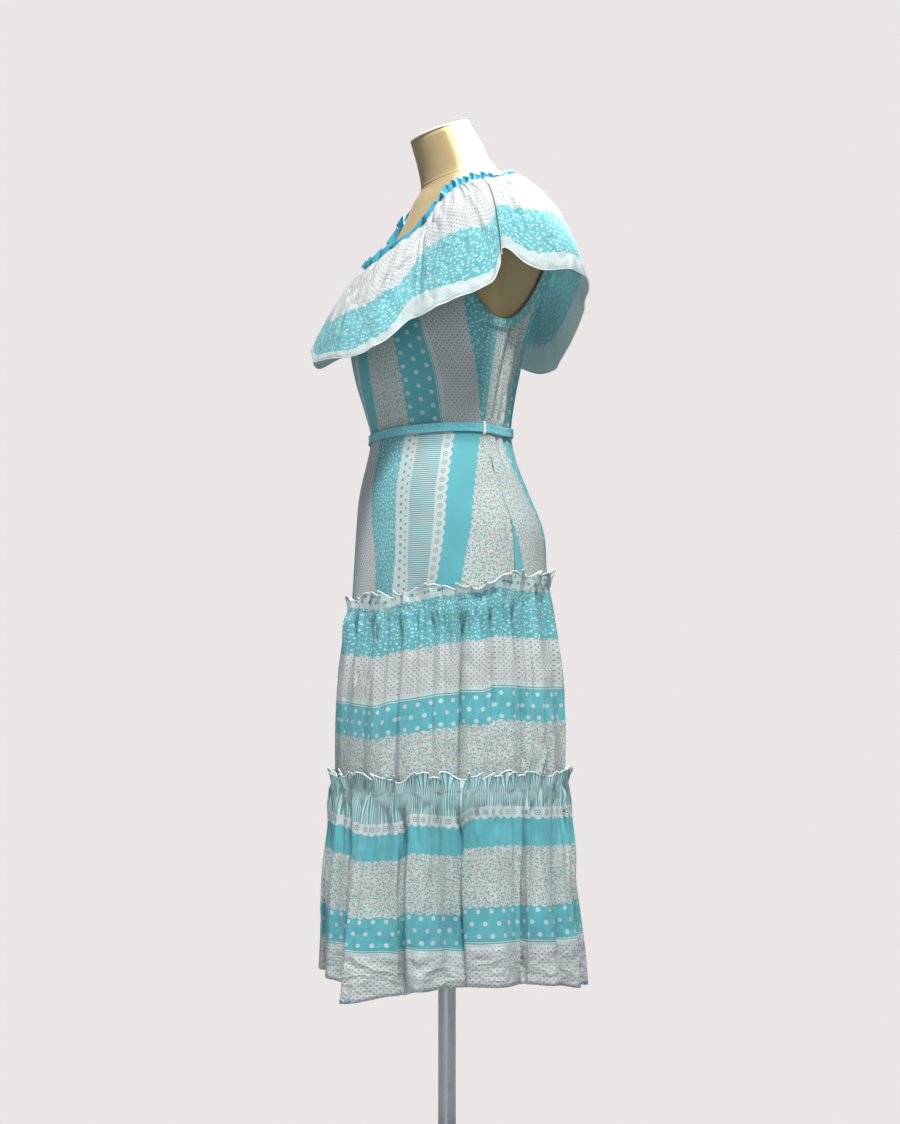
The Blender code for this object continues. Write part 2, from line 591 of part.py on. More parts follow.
def build():
    clear_scene()
    home = bpy.data.collections.new("sundress_on_form")
    bpy.context.scene.collection.children.link(home)
    mats = {name: new_material(name) for name in MATERIALS}
    cloth = mats["printed_cotton"]
    trim = mats["trim_cotton"]

    levels = [row[0] for row in BODY]
    levels = sorted(levels + [0.750, 1.033, 1.252, 1.322, 1.354, 1.404])
    closed_body("form_body", [ring(body, 36, v) for v in levels], mats["form_canvas"])
    closed_body("form_neck_cap", neck_cap_rows(), mats["cap_ivory"])
    top = BODY[0][0] - GAP
    floor = BASE_H + GAP
    closed_body("form_pole", lathe(((0.030, floor), (0.030, floor + 0.016), (0.020, floor + 0.026),
                                    (POLE_R, floor + 0.030), (POLE_R, top - 0.020),
                                    (0.024, top - 0.012), (0.045, top - 0.008), (0.045, top)), 24),
                mats["stand_steel"])
    closed_body("form_base", lathe(((BASE_R - 0.004, 0.0), (BASE_R, 0.004), (BASE_R, BASE_H - 0.004),
                                    (BASE_R - 0.004, BASE_H)), 56), mats["stand_steel"])

    front = mirror_shares([0.0, 0.09, 0.18, 0.26, 0.32, 0.375, 0.43, 0.49, 0.56, 0.66, 0.77, 0.89, 1.0])
    back = mirror_shares([0.0, 0.13, 0.27, 0.42, 0.57, 0.72, 0.87, 1.0])
    skin("bodice_front", panel_rows(front, panel_runs(), False), False, cloth, WALL)
    skin("bodice_back", panel_rows(back, panel_runs(), True), False, cloth, WALL)
    tube_loop("armhole_binding_left", binding_rows(1.0), trim)
    tube_loop("armhole_binding_right", binding_rows(-1.0), trim)

    rows = len(FLOUNCE)
    first, last = FLOUNCE_SPLIT
    back_spots = np.linspace(first + FLOUNCE_SEAM, last - FLOUNCE_SEAM, 34)
    front_spots = np.linspace(last + FLOUNCE_SEAM, first + rows - FLOUNCE_SEAM, 46)
    runs = (0.0, 0.08, 0.22, 0.40, 0.58, 0.78, 1.0)
    for name, spots in (("flounce_front", front_spots), ("flounce_back", back_spots)):
        skin(name, [[flounce(s, r) for s in spots] for r in runs], False, cloth, WALL, 0.0)
    skin("neck_frill", [ring(neck_frill, WAVES_NECK * 4, r) for r in (0.0, 0.45, 1.0)],
         True, trim, 0.0010, 0.0)

    skin("belt", [[belt_point(360.0 * i / 54, up, BELT_THICK) for i in range(54)]
                  for up in (BELT_HALF, -BELT_HALF)], True, trim, BELT_THICK)
    skin("belt_loop_left", belt_loop_rows(1.0), False, mats["loop_cotton"], 0.0009)
    skin("belt_loop_right", belt_loop_rows(-1.0), False, mats["loop_cotton"], 0.0009)

    edge = SEAM_DEG - math.degrees(SEAM_GAP / 2 / 0.13)
    shares = (0.0, 0.10, 0.22, 0.36, 0.52, 0.68, 0.84, 1.0)
    for name, middle, half, count in (("skirt_yoke_front", 0.0, edge, 26),
                                      ("skirt_yoke_back", 180.0, 180.0 - SEAM_DEG - (SEAM_DEG - edge), 18)):
        grid = []
        for share in shares:
            line = []
            for i in range(count + 1):
                deg = middle + half * (2.0 * i / count - 1.0)
                high = WAIST - GAP
                line.append(skirt(YOKE, deg, high + (head_1(deg) - LAP - high) * share))
            grid.append(line)
        skin(name, grid, False, cloth, WALL)

    skin("tier_1", [ring(tier_1, WAVES_1 * 4, -1.0), ring(tier_1, WAVES_1 * 4, -0.45),
                    ring(tier_1, WAVES_1 * 4, 0.0), ring(tier_1, WAVES_1 * 4, 0.07),
                    ring(tier_1, 80, 0.25), ring(tier_1, 80, 0.60), ring(tier_1, 80, 1.0)],
         True, cloth, WALL)
    skin("tier_2", [ring(tier_2, WAVES_2 * 4, -1.0), ring(tier_2, WAVES_2 * 4, -0.45),
                    ring(tier_2, WAVES_2 * 4, 0.0), ring(tier_2, WAVES_2 * 4, 0.07),
                    ring(tier_2, 92, 0.24), ring(tier_2, 92, 0.60), ring(tier_2, 92, 1.0)],
         True, cloth, WALL)


build()
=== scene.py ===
# %% [markdown]
# # A printed cotton sundress on a dress form
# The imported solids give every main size. Here they get their cloth: thin printed shells with
# gathers and creases, frills with rolled edges, stitching, a canvas torso, light and a camera.

# %% Load the frame
import math

import bpy
import numpy as np
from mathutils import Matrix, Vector


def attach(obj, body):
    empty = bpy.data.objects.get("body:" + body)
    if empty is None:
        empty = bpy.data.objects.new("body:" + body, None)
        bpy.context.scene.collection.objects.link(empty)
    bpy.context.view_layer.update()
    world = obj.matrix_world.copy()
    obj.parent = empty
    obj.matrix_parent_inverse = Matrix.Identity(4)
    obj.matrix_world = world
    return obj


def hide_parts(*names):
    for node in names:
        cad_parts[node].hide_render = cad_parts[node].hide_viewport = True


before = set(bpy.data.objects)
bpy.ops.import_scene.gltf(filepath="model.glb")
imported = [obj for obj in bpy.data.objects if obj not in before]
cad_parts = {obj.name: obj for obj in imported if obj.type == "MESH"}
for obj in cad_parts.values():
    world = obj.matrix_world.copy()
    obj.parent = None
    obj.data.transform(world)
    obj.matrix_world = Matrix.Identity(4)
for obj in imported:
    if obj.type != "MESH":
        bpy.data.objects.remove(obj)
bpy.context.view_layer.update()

# %% [markdown]
# ## Sizes
# Angles run in degrees round the body: 0 is the front, 90 the wearer's left, 180 the back.

# %% Sizes shared with the solids
GAP = 0.0004
SEAM_GAP = 0.0009
EASE = 0.0040
WAIST = 1.0560
SEAM_DEG = 107.5
SHOULDER_DEG = 99.0
HEAD_1 = 0.8210
HEAD_1_TILT = 0.0200
HEAD_2 = 0.5510
HEAD_TALL = 0.0200
LAP = 0.0100
WAVES_1 = 26
WAVES_2 = 34
WAVES_NECK = 27
BELT_HALF = 0.0064
BELT_THICK = 0.0018
BINDING = 0.0110
FRILL_TALL = 0.0110
ARM_MID = 0.634
ARM_HALF = 0.217
ARM_FRONT = 24.0
ARM_BACK = 26.0
BUST_DEG = 33.0
BUST_SPREAD = 17.0
BRIDGE_DEG = 19.0
BLADE_EASE = 0.0024
BLADE_LEVEL = 1.325
BLADE_DEG = 130.0
STRAP_EASE = 0.0018
FLOUNCE_SPLIT = (8.5, 17.6)
FLOUNCE_SEAM = 0.0012
CLOTH = 0.0008           # thickness of the dress's cloth
LONG = 1500              # points of a fine line round a tier
AROUND = 160             # points round the torso
PANEL_STEP = (0.5, 0.002)    # degrees and metres between the points that give a normal
NECK_SEAM = 1.443        # level of the seam round the neck
NECK_TOP = 1.504

# Torso and neck. Columns: level, height at the front, side and back, half width, y of the
# front, back and widest point, squareness of the back, and how evenly the heights blend.
BODY = np.array([
    (0.745, 0.745, 0.745, 0.745, 0.158, -0.1150, 0.1260, 0.003, 2.0, 2.0),
    (0.800, 0.800, 0.800, 0.800, 0.166, -0.1220, 0.1330, 0.004, 2.0, 2.0),
    (0.864, 0.864, 0.864, 0.864, 0.168, -0.1240, 0.1340, 0.004, 2.0, 2.0),
    (0.920, 0.920, 0.920, 0.920, 0.162, -0.1220, 0.1300, 0.002, 2.0, 2.0),
    (0.971, 0.971, 0.971, 0.971, 0.149, -0.1190, 0.1100, -0.003, 2.0, 2.0),
    (1.011, 1.011, 1.011, 1.011, 0.134, -0.1110, 0.0950, -0.007, 2.0, 2.0),
    (1.056, 1.056, 1.056, 1.056, 0.120, -0.1050, 0.0860, -0.009, 2.0, 2.0),
    (1.100, 1.100, 1.100, 1.100, 0.127, -0.1165, 0.0900, -0.010, 2.0, 2.0),
    (1.150, 1.150, 1.150, 1.150, 0.137, -0.1285, 0.0980, -0.010, 2.1, 2.0),
    (1.195, 1.195, 1.195, 1.195, 0.145, -0.1310, 0.1060, -0.009, 2.2, 2.0),
    (1.235, 1.235, 1.235, 1.235, 0.150, -0.1320, 0.1170, -0.006, 2.4, 2.0),
    (1.270, 1.270, 1.270, 1.270, 0.155, -0.1180, 0.1300, 0.001, 2.6, 2.0),
    (1.305, 1.305, 1.305, 1.305, 0.162, -0.0980, 0.1400, 0.010, 2.8, 2.0),
    (1.338, 1.335, 1.332, 1.342, 0.168, -0.0790, 0.1360, 0.016, 2.8, 2.0),
    (1.368, 1.362, 1.358, 1.377, 0.163, -0.0660, 0.1230, 0.020, 2.6, 2.0),
    (1.394, 1.386, 1.379, 1.407, 0.143, -0.0550, 0.1060, 0.020, 2.4, 2.0),
    (1.414, 1.405, 1.398, 1.431, 0.112, -0.0470, 0.0900, 0.020, 2.2, 2.0),
    (1.430, 1.416, 1.419, 1.448, 0.082, -0.0400, 0.0780, 0.018, 2.1, 1.5),
    (1.443, 1.424, 1.441, 1.459, 0.063, -0.0365, 0.0675, 0.0155, 2.0, 1.0),
    (1.466, 1.459, 1.464, 1.472, 0.056, -0.0430, 0.0590, 0.008, 2.0, 1.0),
    (1.485, 1.476, 1.484, 1.493, 0.053, -0.0485, 0.0490, 0.000, 2.0, 1.0),
    (1.504, 1.490, 1.504, 1.519, 0.050, -0.0525, 0.0310, -0.0108, 2.0, 1.0),
])
# Columns: level, push outward.
BUST = np.array([(1.100, 0.0), (1.150, 0.004), (1.195, 0.010), (1.235, 0.013), (1.270, 0.008),
                 (1.305, 0.000), (1.335, -0.006), (1.365, -0.010), (1.394, -0.009),
                 (1.414, -0.005), (1.430, -0.002), (1.443, 0.0)])
# Columns: angle from the front, level on the body.
NECKLINE = np.array([(0.0, 1.286), (6.0, 1.290), (15.0, 1.302), (22.0, 1.318), (27.0, 1.333),
                     (33.0, 1.353), (39.0, 1.374), (46.0, 1.391), (57.0, 1.405), (75.0, 1.415),
                     (95.0, 1.420), (130.0, 1.4220), (180.0, 1.4220)])
# Columns: level, extra ease.
BRIDGE = np.array([(1.200, 0.0), (1.240, 0.003), (1.270, 0.008), (1.300, 0.013), (1.400, 0.013)])
# Columns of the skirt sections: level, half width, y of the front, y of the back.
YOKE = np.array([
    (0.790, 0.1815, -0.1375, 0.1445),
    (0.820, 0.1795, -0.1360, 0.1430),
    (0.864, 0.1765, -0.1335, 0.1410),
    (0.920, 0.1695, -0.1305, 0.1365),
    (0.971, 0.1555, -0.1265, 0.1160),
    (1.011, 0.1400, -0.1180, 0.1000),
    (1.030, 0.1320, -0.1135, 0.0945),
    (1.056, 0.1240, -0.1090, 0.0900),
])
TIER_1 = np.array([
    (0.530, 0.2080, -0.1610, 0.1680),
    (0.576, 0.2080, -0.1625, 0.1680),
    (0.630, 0.2060, -0.1625, 0.1700),
    (0.685, 0.2020, -0.1600, 0.1680),
    (0.745, 0.1950, -0.1530, 0.1620),
    (0.790, 0.1875, -0.1450, 0.1535),
    (0.820, 0.1827, -0.1392, 0.1464),
    (0.870, 0.1822, -0.1387, 0.1461),
])
TIER_2 = np.array([
    (0.240, 0.2350, -0.1920, 0.2050),
    (0.276, 0.2330, -0.1900, 0.2040),
    (0.361, 0.2290, -0.1870, 0.1940),
    (0.417, 0.2260, -0.1835, 0.1865),
    (0.473, 0.2220, -0.1775, 0.1850),
    (0.522, 0.2165, -0.1725, 0.1770),
    (0.550, 0.2113, -0.1656, 0.1712),
    (0.590, 0.2113, -0.1656, 0.1712),
])
# Columns: angle, push outward at the lower edge of the first tier.
FOLDS_1 = np.array([
    (5.0, 0.0), (16.0, -0.005), (27.0, 0.0), (40.0, -0.004), (48.0, 0.0), (56.0, -0.003),
    (64.0, 0.0), (73.0, -0.009), (81.0, 0.0), (89.5, -0.004), (98.0, 0.0), (106.5, -0.006),
    (118.0, 0.0), (129.0, -0.006), (140.0, 0.0), (151.0, -0.005), (163.0, 0.0), (174.0, -0.006),
    (186.0, 0.0), (197.0, -0.004), (208.0, 0.0), (219.0, -0.007), (231.0, 0.0), (243.0, -0.005),
    (254.0, 0.0), (266.0, -0.008), (278.0, 0.0), (290.0, -0.005), (301.0, 0.0), (313.0, -0.006),
    (330.0, 0.0), (349.0, -0.005),
])
# Flutes of the hem. Columns: angle, push outward, level of the hem.
FLUTES = np.array([
    (5.0, 0.001, 0.2750), (18.0, -0.024, 0.2680), (27.5, 0.027, 0.2520), (45.0, -0.021, 0.2650),
    (56.0, 0.003, 0.2740), (68.0, -0.058, 0.2760), (88.0, 0.003, 0.2810), (103.5, -0.027, 0.2800),
    (115.0, 0.003, 0.2770), (124.5, -0.019, 0.2720), (134.0, 0.001, 0.2660),
    (147.0, -0.022, 0.2640), (160.0, 0.000, 0.2580), (174.0, -0.025, 0.2640),
    (188.0, 0.002, 0.2620), (203.0, -0.028, 0.2680), (217.0, 0.003, 0.2660),
    (232.0, -0.024, 0.2700), (246.0, 0.004, 0.2690), (262.0, -0.031, 0.2740),
    (277.0, 0.004, 0.2730), (292.0, -0.026, 0.2760), (306.0, 0.002, 0.2710),
    (321.0, -0.024, 0.2720), (334.0, 0.000, 0.2740), (349.0, -0.018, 0.2750),
])
# Collar flounce. Columns: angle on the neckline, hem x, y and z, reach and rise of its crown.
FLOUNCE = np.array([
    (0.0, 0.000, -0.200, 1.160, 0.55, -0.045),
    (14.0, 0.070, -0.198, 1.154, 0.55, -0.040),
    (24.0, 0.132, -0.181, 1.149, 0.56, -0.036),
    (30.0, 0.160, -0.148, 1.163, 0.55, -0.038),
    (36.0, 0.167, -0.111, 1.193, 0.53, -0.043),
    (42.0, 0.198, -0.094, 1.203, 0.57, -0.036),
    (50.0, 0.220, -0.064, 1.217, 0.60, -0.028),
    (62.0, 0.236, -0.017, 1.238, 0.62, -0.012),
    (76.0, 0.224, 0.004, 1.266, 0.66, 0.000),
    (92.0, 0.200, 0.019, 1.298, 0.70, 0.004),
    (108.0, 0.205, 0.064, 1.270, 0.70, 0.001),
    (125.0, 0.179, 0.127, 1.279, 0.65, -0.012),
    (142.0, 0.123, 0.172, 1.274, 0.60, -0.024),
    (158.0, 0.070, 0.187, 1.244, 0.60, -0.026),
    (176.0, 0.008, 0.186, 1.197, 0.60, -0.028),
    (194.0, -0.055, 0.183, 1.173, 0.62, -0.022),
    (212.0, -0.124, 0.166, 1.186, 0.68, 0.000),
    (234.0, -0.188, 0.120, 1.232, 0.72, 0.012),
    (262.0, -0.206, 0.028, 1.290, 0.72, 0.010),
    (290.0, -0.232, -0.022, 1.242, 0.63, -0.008),
    (310.0, -0.212, -0.078, 1.212, 0.60, -0.028),
    (324.0, -0.174, -0.118, 1.196, 0.56, -0.040),
    (335.0, -0.128, -0.163, 1.172, 0.56, -0.038),
    (347.0, -0.062, -0.189, 1.184, 0.55, -0.038),
])

# %% [markdown]
# ## The camera
# It stands level with the middle of the skirt, three metres from the pole and a little forward
# of the wearer's left side. The shift only frames the picture as the photograph does.

# %% Camera
VIEW_OUT = Vector((0.951, -0.309, 0.0))
VIEW_RIGHT = Vector((0.309, 0.951, 0.0))
EYE_LEVEL = 0.673
EYE_AWAY = 3.0
SCALE = 0.00147          # metres for each pixel of the photograph at the pole
PHOTO_HIGH = 1124.0      # pixels
SENSOR = 36.0            # millimetres
eye_data = bpy.data.cameras.new("camera")
eye = bpy.data.objects.new("camera", eye_data)
bpy.context.scene.collection.objects.link(eye)
eye.location = VIEW_OUT * EYE_AWAY + Vector((0.0, 0.0, EYE_LEVEL))
eye.rotation_euler = (-VIEW_OUT).to_track_quat("-Z", "Y").to_euler()
eye_data.sensor_width = SENSOR
eye_data.lens = SENSOR * EYE_AWAY / SCALE / PHOTO_HIGH
eye_data.shift_x = 3.0 / PHOTO_HIGH
eye_data.shift_y = 138.0 / PHOTO_HIGH
eye_data.clip_end = 60.0
bpy.context.scene.camera = eye

# %% [markdown]
# ## Light
# The main light is high above, so the collar shades the bodice. A small narrow one brightens the
# shoulders from the right of the picture. Two wide ones fill the side that shows and the far side.

# %% Lights and surroundings
def linear(red, green, blue):
    """Colour from the usual 0 to 255 screen values."""
    parts = [v / 255.0 for v in (red, green, blue)]
    return tuple(v / 12.92 if v < 0.04045 else ((v + 0.055) / 1.055)**2.4 for v in parts) + (1.0,)


BACKDROP = linear(234, 230, 229)
scene = bpy.context.scene
scene.view_settings.view_transform = "Standard"
scene.view_settings.look = "None"
world = bpy.data.worlds.new("studio")
world.use_nodes = True
scene.world = world
sky = world.node_tree.nodes["Background"]
sky.inputs["Color"].default_value = BACKDROP
sky.inputs["Strength"].default_value = 1.0
dim = world.node_tree.nodes.new("ShaderNodeBackground")
dim.inputs["Color"].default_value = linear(232, 240, 248)
dim.inputs["Strength"].default_value = 0.235
seen = world.node_tree.nodes.new("ShaderNodeLightPath")
pick = world.node_tree.nodes.new("ShaderNodeMixShader")
surface = world.node_tree.nodes["World Output"].inputs["Surface"]
for giver, taker in ((seen.outputs["Is Camera Ray"], pick.inputs[0]), (dim.outputs[0], pick.inputs[1]),
                     (sky.outputs[0], pick.inputs[2]), (pick.outputs[0], surface)):
    world.node_tree.links.new(giver, taker)


def soft_light(name, right, out, up, size, watts, color, aim, beam=180.0):
    """A round lamp, placed in metres to the right of the pole in the picture, toward the camera
    and up. The beam is in degrees."""
    data = bpy.data.lights.new(name, "AREA")
    data.spread = math.radians(beam)
    data.shape = "DISK"
    data.size = size
    data.energy = watts
    data.color = color
    lamp = bpy.data.objects.new(name, data)
    scene.collection.objects.link(lamp)
    lamp.location = VIEW_RIGHT * right + VIEW_OUT * out + Vector((0.0, 0.0, up))
    lamp.rotation_euler = (Vector(aim) - lamp.location).to_track_quat("-Z", "Y").to_euler()


soft_light("key", 0.30, 2.15, 4.40, 0.70, 274.0, (1.0, 0.99, 0.96), (0.0, 0.0, 0.80))
soft_light("shoulder", 1.35, 0.05, 2.12, 0.20, 3.4, (1.0, 0.99, 0.95), (0.0, 0.10, 1.45), 12.0)
soft_light("front", -0.9, 3.2, 0.9, 2.2, 20.0, (1.0, 0.99, 0.97), (0.0, 0.0, 0.55))
soft_light("back", 0.0, -3.4, 2.3, 2.4, 85.0, (1.0, 1.0, 1.0), (0.0, 0.0, 0.85))

# %% [markdown]
# ## Surfaces
# These repeat the solids' own surfaces for whole arrays of angles and levels.

# %% Surface functions
def table_at(table, keys):
    """All columns of a table at keys of its first column, on a smooth curve."""
    x = table[:, 0]
    keys = np.clip(np.asarray(keys, float), x[0], x[-1])
    i = np.clip(np.searchsorted(x, keys, side="right") - 1, 0, len(x) - 2)
    slopes = np.diff(table, axis=0) / np.diff(x)[:, None]
    share = ((x[2:] - x[1:-1]) / (x[2:] - x[:-2]))[:, None]
    slope = np.vstack((slopes[:1], slopes[:-1] * share + slopes[1:] * (1 - share), slopes[-1:]))
    span = (x[i + 1] - x[i])[..., None]
    u = (keys - x[i])[..., None] / span
    return (table[i] * (2 * u**3 - 3 * u**2 + 1) + slope[i] * span * (u**3 - 2 * u**2 + u)
            + table[i + 1] * (3 * u**2 - 2 * u**3) + slope[i + 1] * span * (u**3 - u**2))


def round_table(table, deg):
    """Eased value of every column between the rows of a table that runs round the body."""
    keys = table[:, 0]
    deg = (np.asarray(deg, float) - keys[0]) % 360.0 + keys[0]
    i = np.searchsorted(keys, deg, side="right") - 1
    after = (i + 1) % len(keys)
    end = keys[after] + np.where(after == 0, 360.0, 0.0)
    u = ((deg - keys[i]) / (end - keys[i]))[..., None]
    return table[i] + (table[after] - table[i]) * (0.5 - 0.5 * np.cos(np.pi * u))


def signed(deg):
    return (np.asarray(deg, float) + 180.0) % 360.0 - 180.0


def bell(offset, width):
    return np.exp(-(offset / width)**2)


def ease(value):
    u = np.clip(value, 0.0, 1.0)
    return u * u * (3.0 - 2.0 * u)


def body(deg, level):
    """Points on the form."""
    deg, level = np.broadcast_arrays(np.asarray(deg, float), np.asarray(level, float))
    _, z_front, z_side, z_back, half, y_front, y_back, y_mid, square, tilt = np.moveaxis(
        table_at(BODY, level), -1, 0)
    s = np.sin(np.radians(deg))
    c = np.cos(np.radians(deg))
    front = c >= 0.0
    power = np.where(front, 1.0, 2.0 / square)
    x = half * np.copysign(np.abs(s)**power, s)
    y = y_mid + (np.where(front, y_front, y_back) - y_mid) * np.abs(c)**power
    z = z_side + (np.where(front, z_front, z_back) - z_side) * np.abs(c)**tilt
    full = np.interp(level, BUST[:, 0], BUST[:, 1]) * bell(np.abs(signed(deg)) - BUST_DEG, BUST_SPREAD)
    reach = np.hypot(x, y - y_mid)
    return np.stack((x + full * x / reach, y + full * (y - y_mid) / reach, z), -1)


def unit(v):
    return v / np.linalg.norm(v, axis=-1, keepdims=True)


def normal_of(surface, a, b, step_a, step_b):
    """Unit normals of a surface function of two values."""
    return unit(np.cross(surface(a + step_a, b) - surface(a - step_a, b),
                         surface(a, b + step_b) - surface(a, b - step_b)))


def bodice(deg, level):
    """Right side of the fitted bodice."""
    around = np.abs(signed(deg))
    extra = np.interp(level, BRIDGE[:, 0], BRIDGE[:, 1]) * bell(around, BRIDGE_DEG)
    extra = extra + BLADE_EASE * bell(level - BLADE_LEVEL, 0.045) * bell(around - BLADE_DEG, 22.0)
    extra = extra + STRAP_EASE * np.clip((level - 1.335) / 0.035, 0.0, 1.0)
    return body(deg, level) + normal_of(body, deg, level, *PANEL_STEP) * (EASE + extra)[..., None]


def neck_level(deg):
    return table_at(NECKLINE, np.abs(signed(deg)))[..., 1]


def panel_level(deg, run):
    return WAIST + GAP / 2 + (neck_level(deg) - WAIST) * run


def panel(deg, run):
    """Bodice points at a running height: 0 is the waist seam, 1 the neckline."""
    return bodice(deg, panel_level(deg, run))


def seam_deg(run):
    return SEAM_DEG + (SHOULDER_DEG - SEAM_DEG) * ease((np.asarray(run) - 0.45) / 0.4)


def arm_cut(run):
    return np.sqrt(np.maximum(0.0, 1.0 - ((np.asarray(run) - ARM_MID) / ARM_HALF)**2))


def skirt(table, deg, level, push):
    """Points of a skirt section moved outward by a push."""
    deg, level = np.broadcast_arrays(np.asarray(deg, float), np.asarray(level, float))
    _, half, y_front, y_back = np.moveaxis(table_at(table, level), -1, 0)
    mid = (y_front + y_back) / 2
    depth = (y_back - y_front) / 2
    s = np.sin(np.radians(deg))
    c = np.cos(np.radians(deg))
    out = unit(np.stack((s / half, -c / depth, np.zeros_like(s)), -1))
    return np.stack((half * s, mid - depth * c, level), -1) + out * np.asarray(push)[..., None]


def head_1(deg):
    return HEAD_1 - HEAD_1_TILT * np.cos(np.radians(deg))


def head_2(deg):
    return HEAD_2 - 0.002 * np.cos(np.radians(deg)) - 0.006 * bell(signed(deg - 35.0), 22.0)


def gather(deg, waves, drift):
    """Uneven gathers between -1 and 1 round the body."""
    a = np.radians(deg)
    return np.cos(waves * a + drift * np.sin(3 * a + 0.7) + 0.6 * drift * np.sin(7 * a))


def flounce_row(place):
    """Columns of the flounce table at running rows, smooth round the closed ring."""
    n = len(FLOUNCE)
    i = np.floor(place).astype(int)
    u = (place - i)[..., None]
    rows = []
    for k in (i - 1, i, i + 1, i + 2):
        row = FLOUNCE[k % n].copy()
        row[..., 0] += 360.0 * (k // n)
        rows.append(row)
    a, b, c, d = rows
    return 0.5 * (2 * b + (c - a) * u + (2 * a - 5 * b + 4 * c - d) * u**2 + (3 * b - a - 3 * c + d) * u**3)


def neck_point(deg, up, out):
    """Points beside the neckline: up along the body toward the neck, out from its surface."""
    level = neck_level(deg)
    here = bodice(deg, level)
    along = unit(bodice(deg, level + 0.004) - here)
    return (here + along * np.asarray(up)[..., None]
            + normal_of(bodice, deg, level, *PANEL_STEP) * np.asarray(out)[..., None])


def flounce(place, run):
    """Middle of the collar flounce: run 0 is the neckline, 1 its hem."""
    place, run = np.broadcast_arrays(np.asarray(place, float), np.asarray(run, float))
    deg, x, y, z, reach, rise = np.moveaxis(flounce_row(place), -1, 0)
    start = neck_point(deg, np.full_like(deg, -0.0030), np.full_like(deg, 0.0024))
    end = np.stack((x, y, z), -1)
    crown = start + (end - start) * reach[..., None]
    crown[..., 2] = start[..., 2] + rise
    u = run[..., None]
    return start * (1 - u)**2 + crown * 2 * u * (1 - u) + end * u**2


# %% [markdown]
# ## The print
# Strips of different patterns repeat across the cloth. One node group draws them all from two
# UV maps in metres: `cloth` is the place on the cloth, and `band` the place across the strips.

# %% A helper that adds shader nodes
class Net:
    """Adds shader nodes with plain calls and joins them."""

    def __init__(self, tree):
        self.tree = tree

    def node(self, kind, **settings):
        node = self.tree.nodes.new(kind)
        count = len(self.tree.nodes)
        node.location = (170.0 * (count % 14), -190.0 * (count // 14))
        for key, value in settings.items():
            setattr(node, key, value)
        return node

    def put(self, socket, value):
        if isinstance(value, bpy.types.NodeSocket):
            self.tree.links.new(value, socket)
        else:
            socket.default_value = value

    def math(self, kind, *values):
        node = self.node("ShaderNodeMath", operation=kind)
        for socket, value in zip(node.inputs, values):
            self.put(socket, value)
        return node.outputs[0]

    def plus(self, a, b):
        return self.math("ADD", a, b)

    def minus(self, a, b):
        return self.math("SUBTRACT", a, b)

    def times(self, a, b):
        return self.math("MULTIPLY", a, b)

    def over(self, a, b):
        return self.math("DIVIDE", a, b)

    def less(self, a, b):
        return self.math("LESS_THAN", a, b)

    def mix(self, share, a, b, kind="MIX"):
        node = self.node("ShaderNodeMix", data_type="RGBA", blend_type=kind)
        self.put(node.inputs[0], share)
        self.put(node.inputs[6], a)
        self.put(node.inputs[7], b)
        return node.outputs[2]

    def limited(self, value):
        return self.math("MINIMUM", self.math("MAXIMUM", value, 0.0), 1.0)

    def blend(self, share, a, b):
        """Mix of two shaders."""
        node = self.node("ShaderNodeMixShader")
        for socket, value in zip(node.inputs, (share, a, b)):
            self.put(socket, value)
        return node.outputs[0]

    def split(self, vector):
        node = self.node("ShaderNodeSeparateXYZ")
        self.put(node.inputs[0], vector)
        return node.outputs

    def join(self, x, y):
        node = self.node("ShaderNodeCombineXYZ")
        self.put(node.inputs[0], x)
        self.put(node.inputs[1], y)
        return node.outputs[0]

    def length(self, x, y):
        return self.math("SQRT", self.plus(self.times(x, x), self.times(y, y)))

    def centred(self, value, pitch, shift=0.0):
        """Distance from the middle of the nearest cell of a row."""
        cell = self.math("FRACT", self.plus(self.over(value, pitch), shift))
        return self.times(self.minus(cell, 0.5), pitch)

    def dots(self, x, y, pitch, rows, radius):
        """Staggered round dots."""
        shift = self.times(self.math("FLOOR", self.over(y, rows)), 0.5)
        far = self.length(self.centred(x, pitch, shift), self.centred(y, rows))
        return self.less(far, radius)

    def flowers(self, x, y, cell, radius, petals, seed):
        """Scattered small flowers, and a colour that differs from one to the next."""
        grid = self.node("ShaderNodeTexVoronoi", voronoi_dimensions="2D", feature="F1")
        spot = self.join(self.plus(self.over(x, cell), seed), self.over(y, cell))
        self.put(grid.inputs["Vector"], spot)
        self.put(grid.inputs["Scale"], 1.0)
        self.put(grid.inputs["Randomness"], 0.85)
        away = self.node("ShaderNodeVectorMath", operation="SUBTRACT")
        self.put(away.inputs[0], spot)
        self.put(away.inputs[1], grid.outputs["Position"])
        local = self.split(away.outputs[0])
        turn = self.times(self.math("ARCTAN2", local[1], local[0]), petals)
        edge = self.math("MULTIPLY_ADD", self.math("COSINE", turn), 0.28 * radius, 0.80 * radius)
        return self.less(grid.outputs["Distance"], edge), grid.outputs["Color"]


# %% Colours and widths of the strips
WHITE = linear(207, 212, 214)
TURQUOISE = linear(98, 186, 198)
TEAL = linear(96, 182, 193)
# Columns: strip, first centimetre of it, height of the scallops on that edge.
STRIPS = [("pin_dots", 0.0, 0.0), ("flowered_teal", 6.0, 0.32), ("lace", 13.0, -0.16),
          ("lines", 15.2, 0.0), ("rings", 19.2, 0.0), ("solid", 20.5, 0.36),
          ("calico", 24.6, -0.26), ("big_dots", 32.1, 0.28), ("lace_line", 36.8, 0.0)]
PERIOD = 37.7


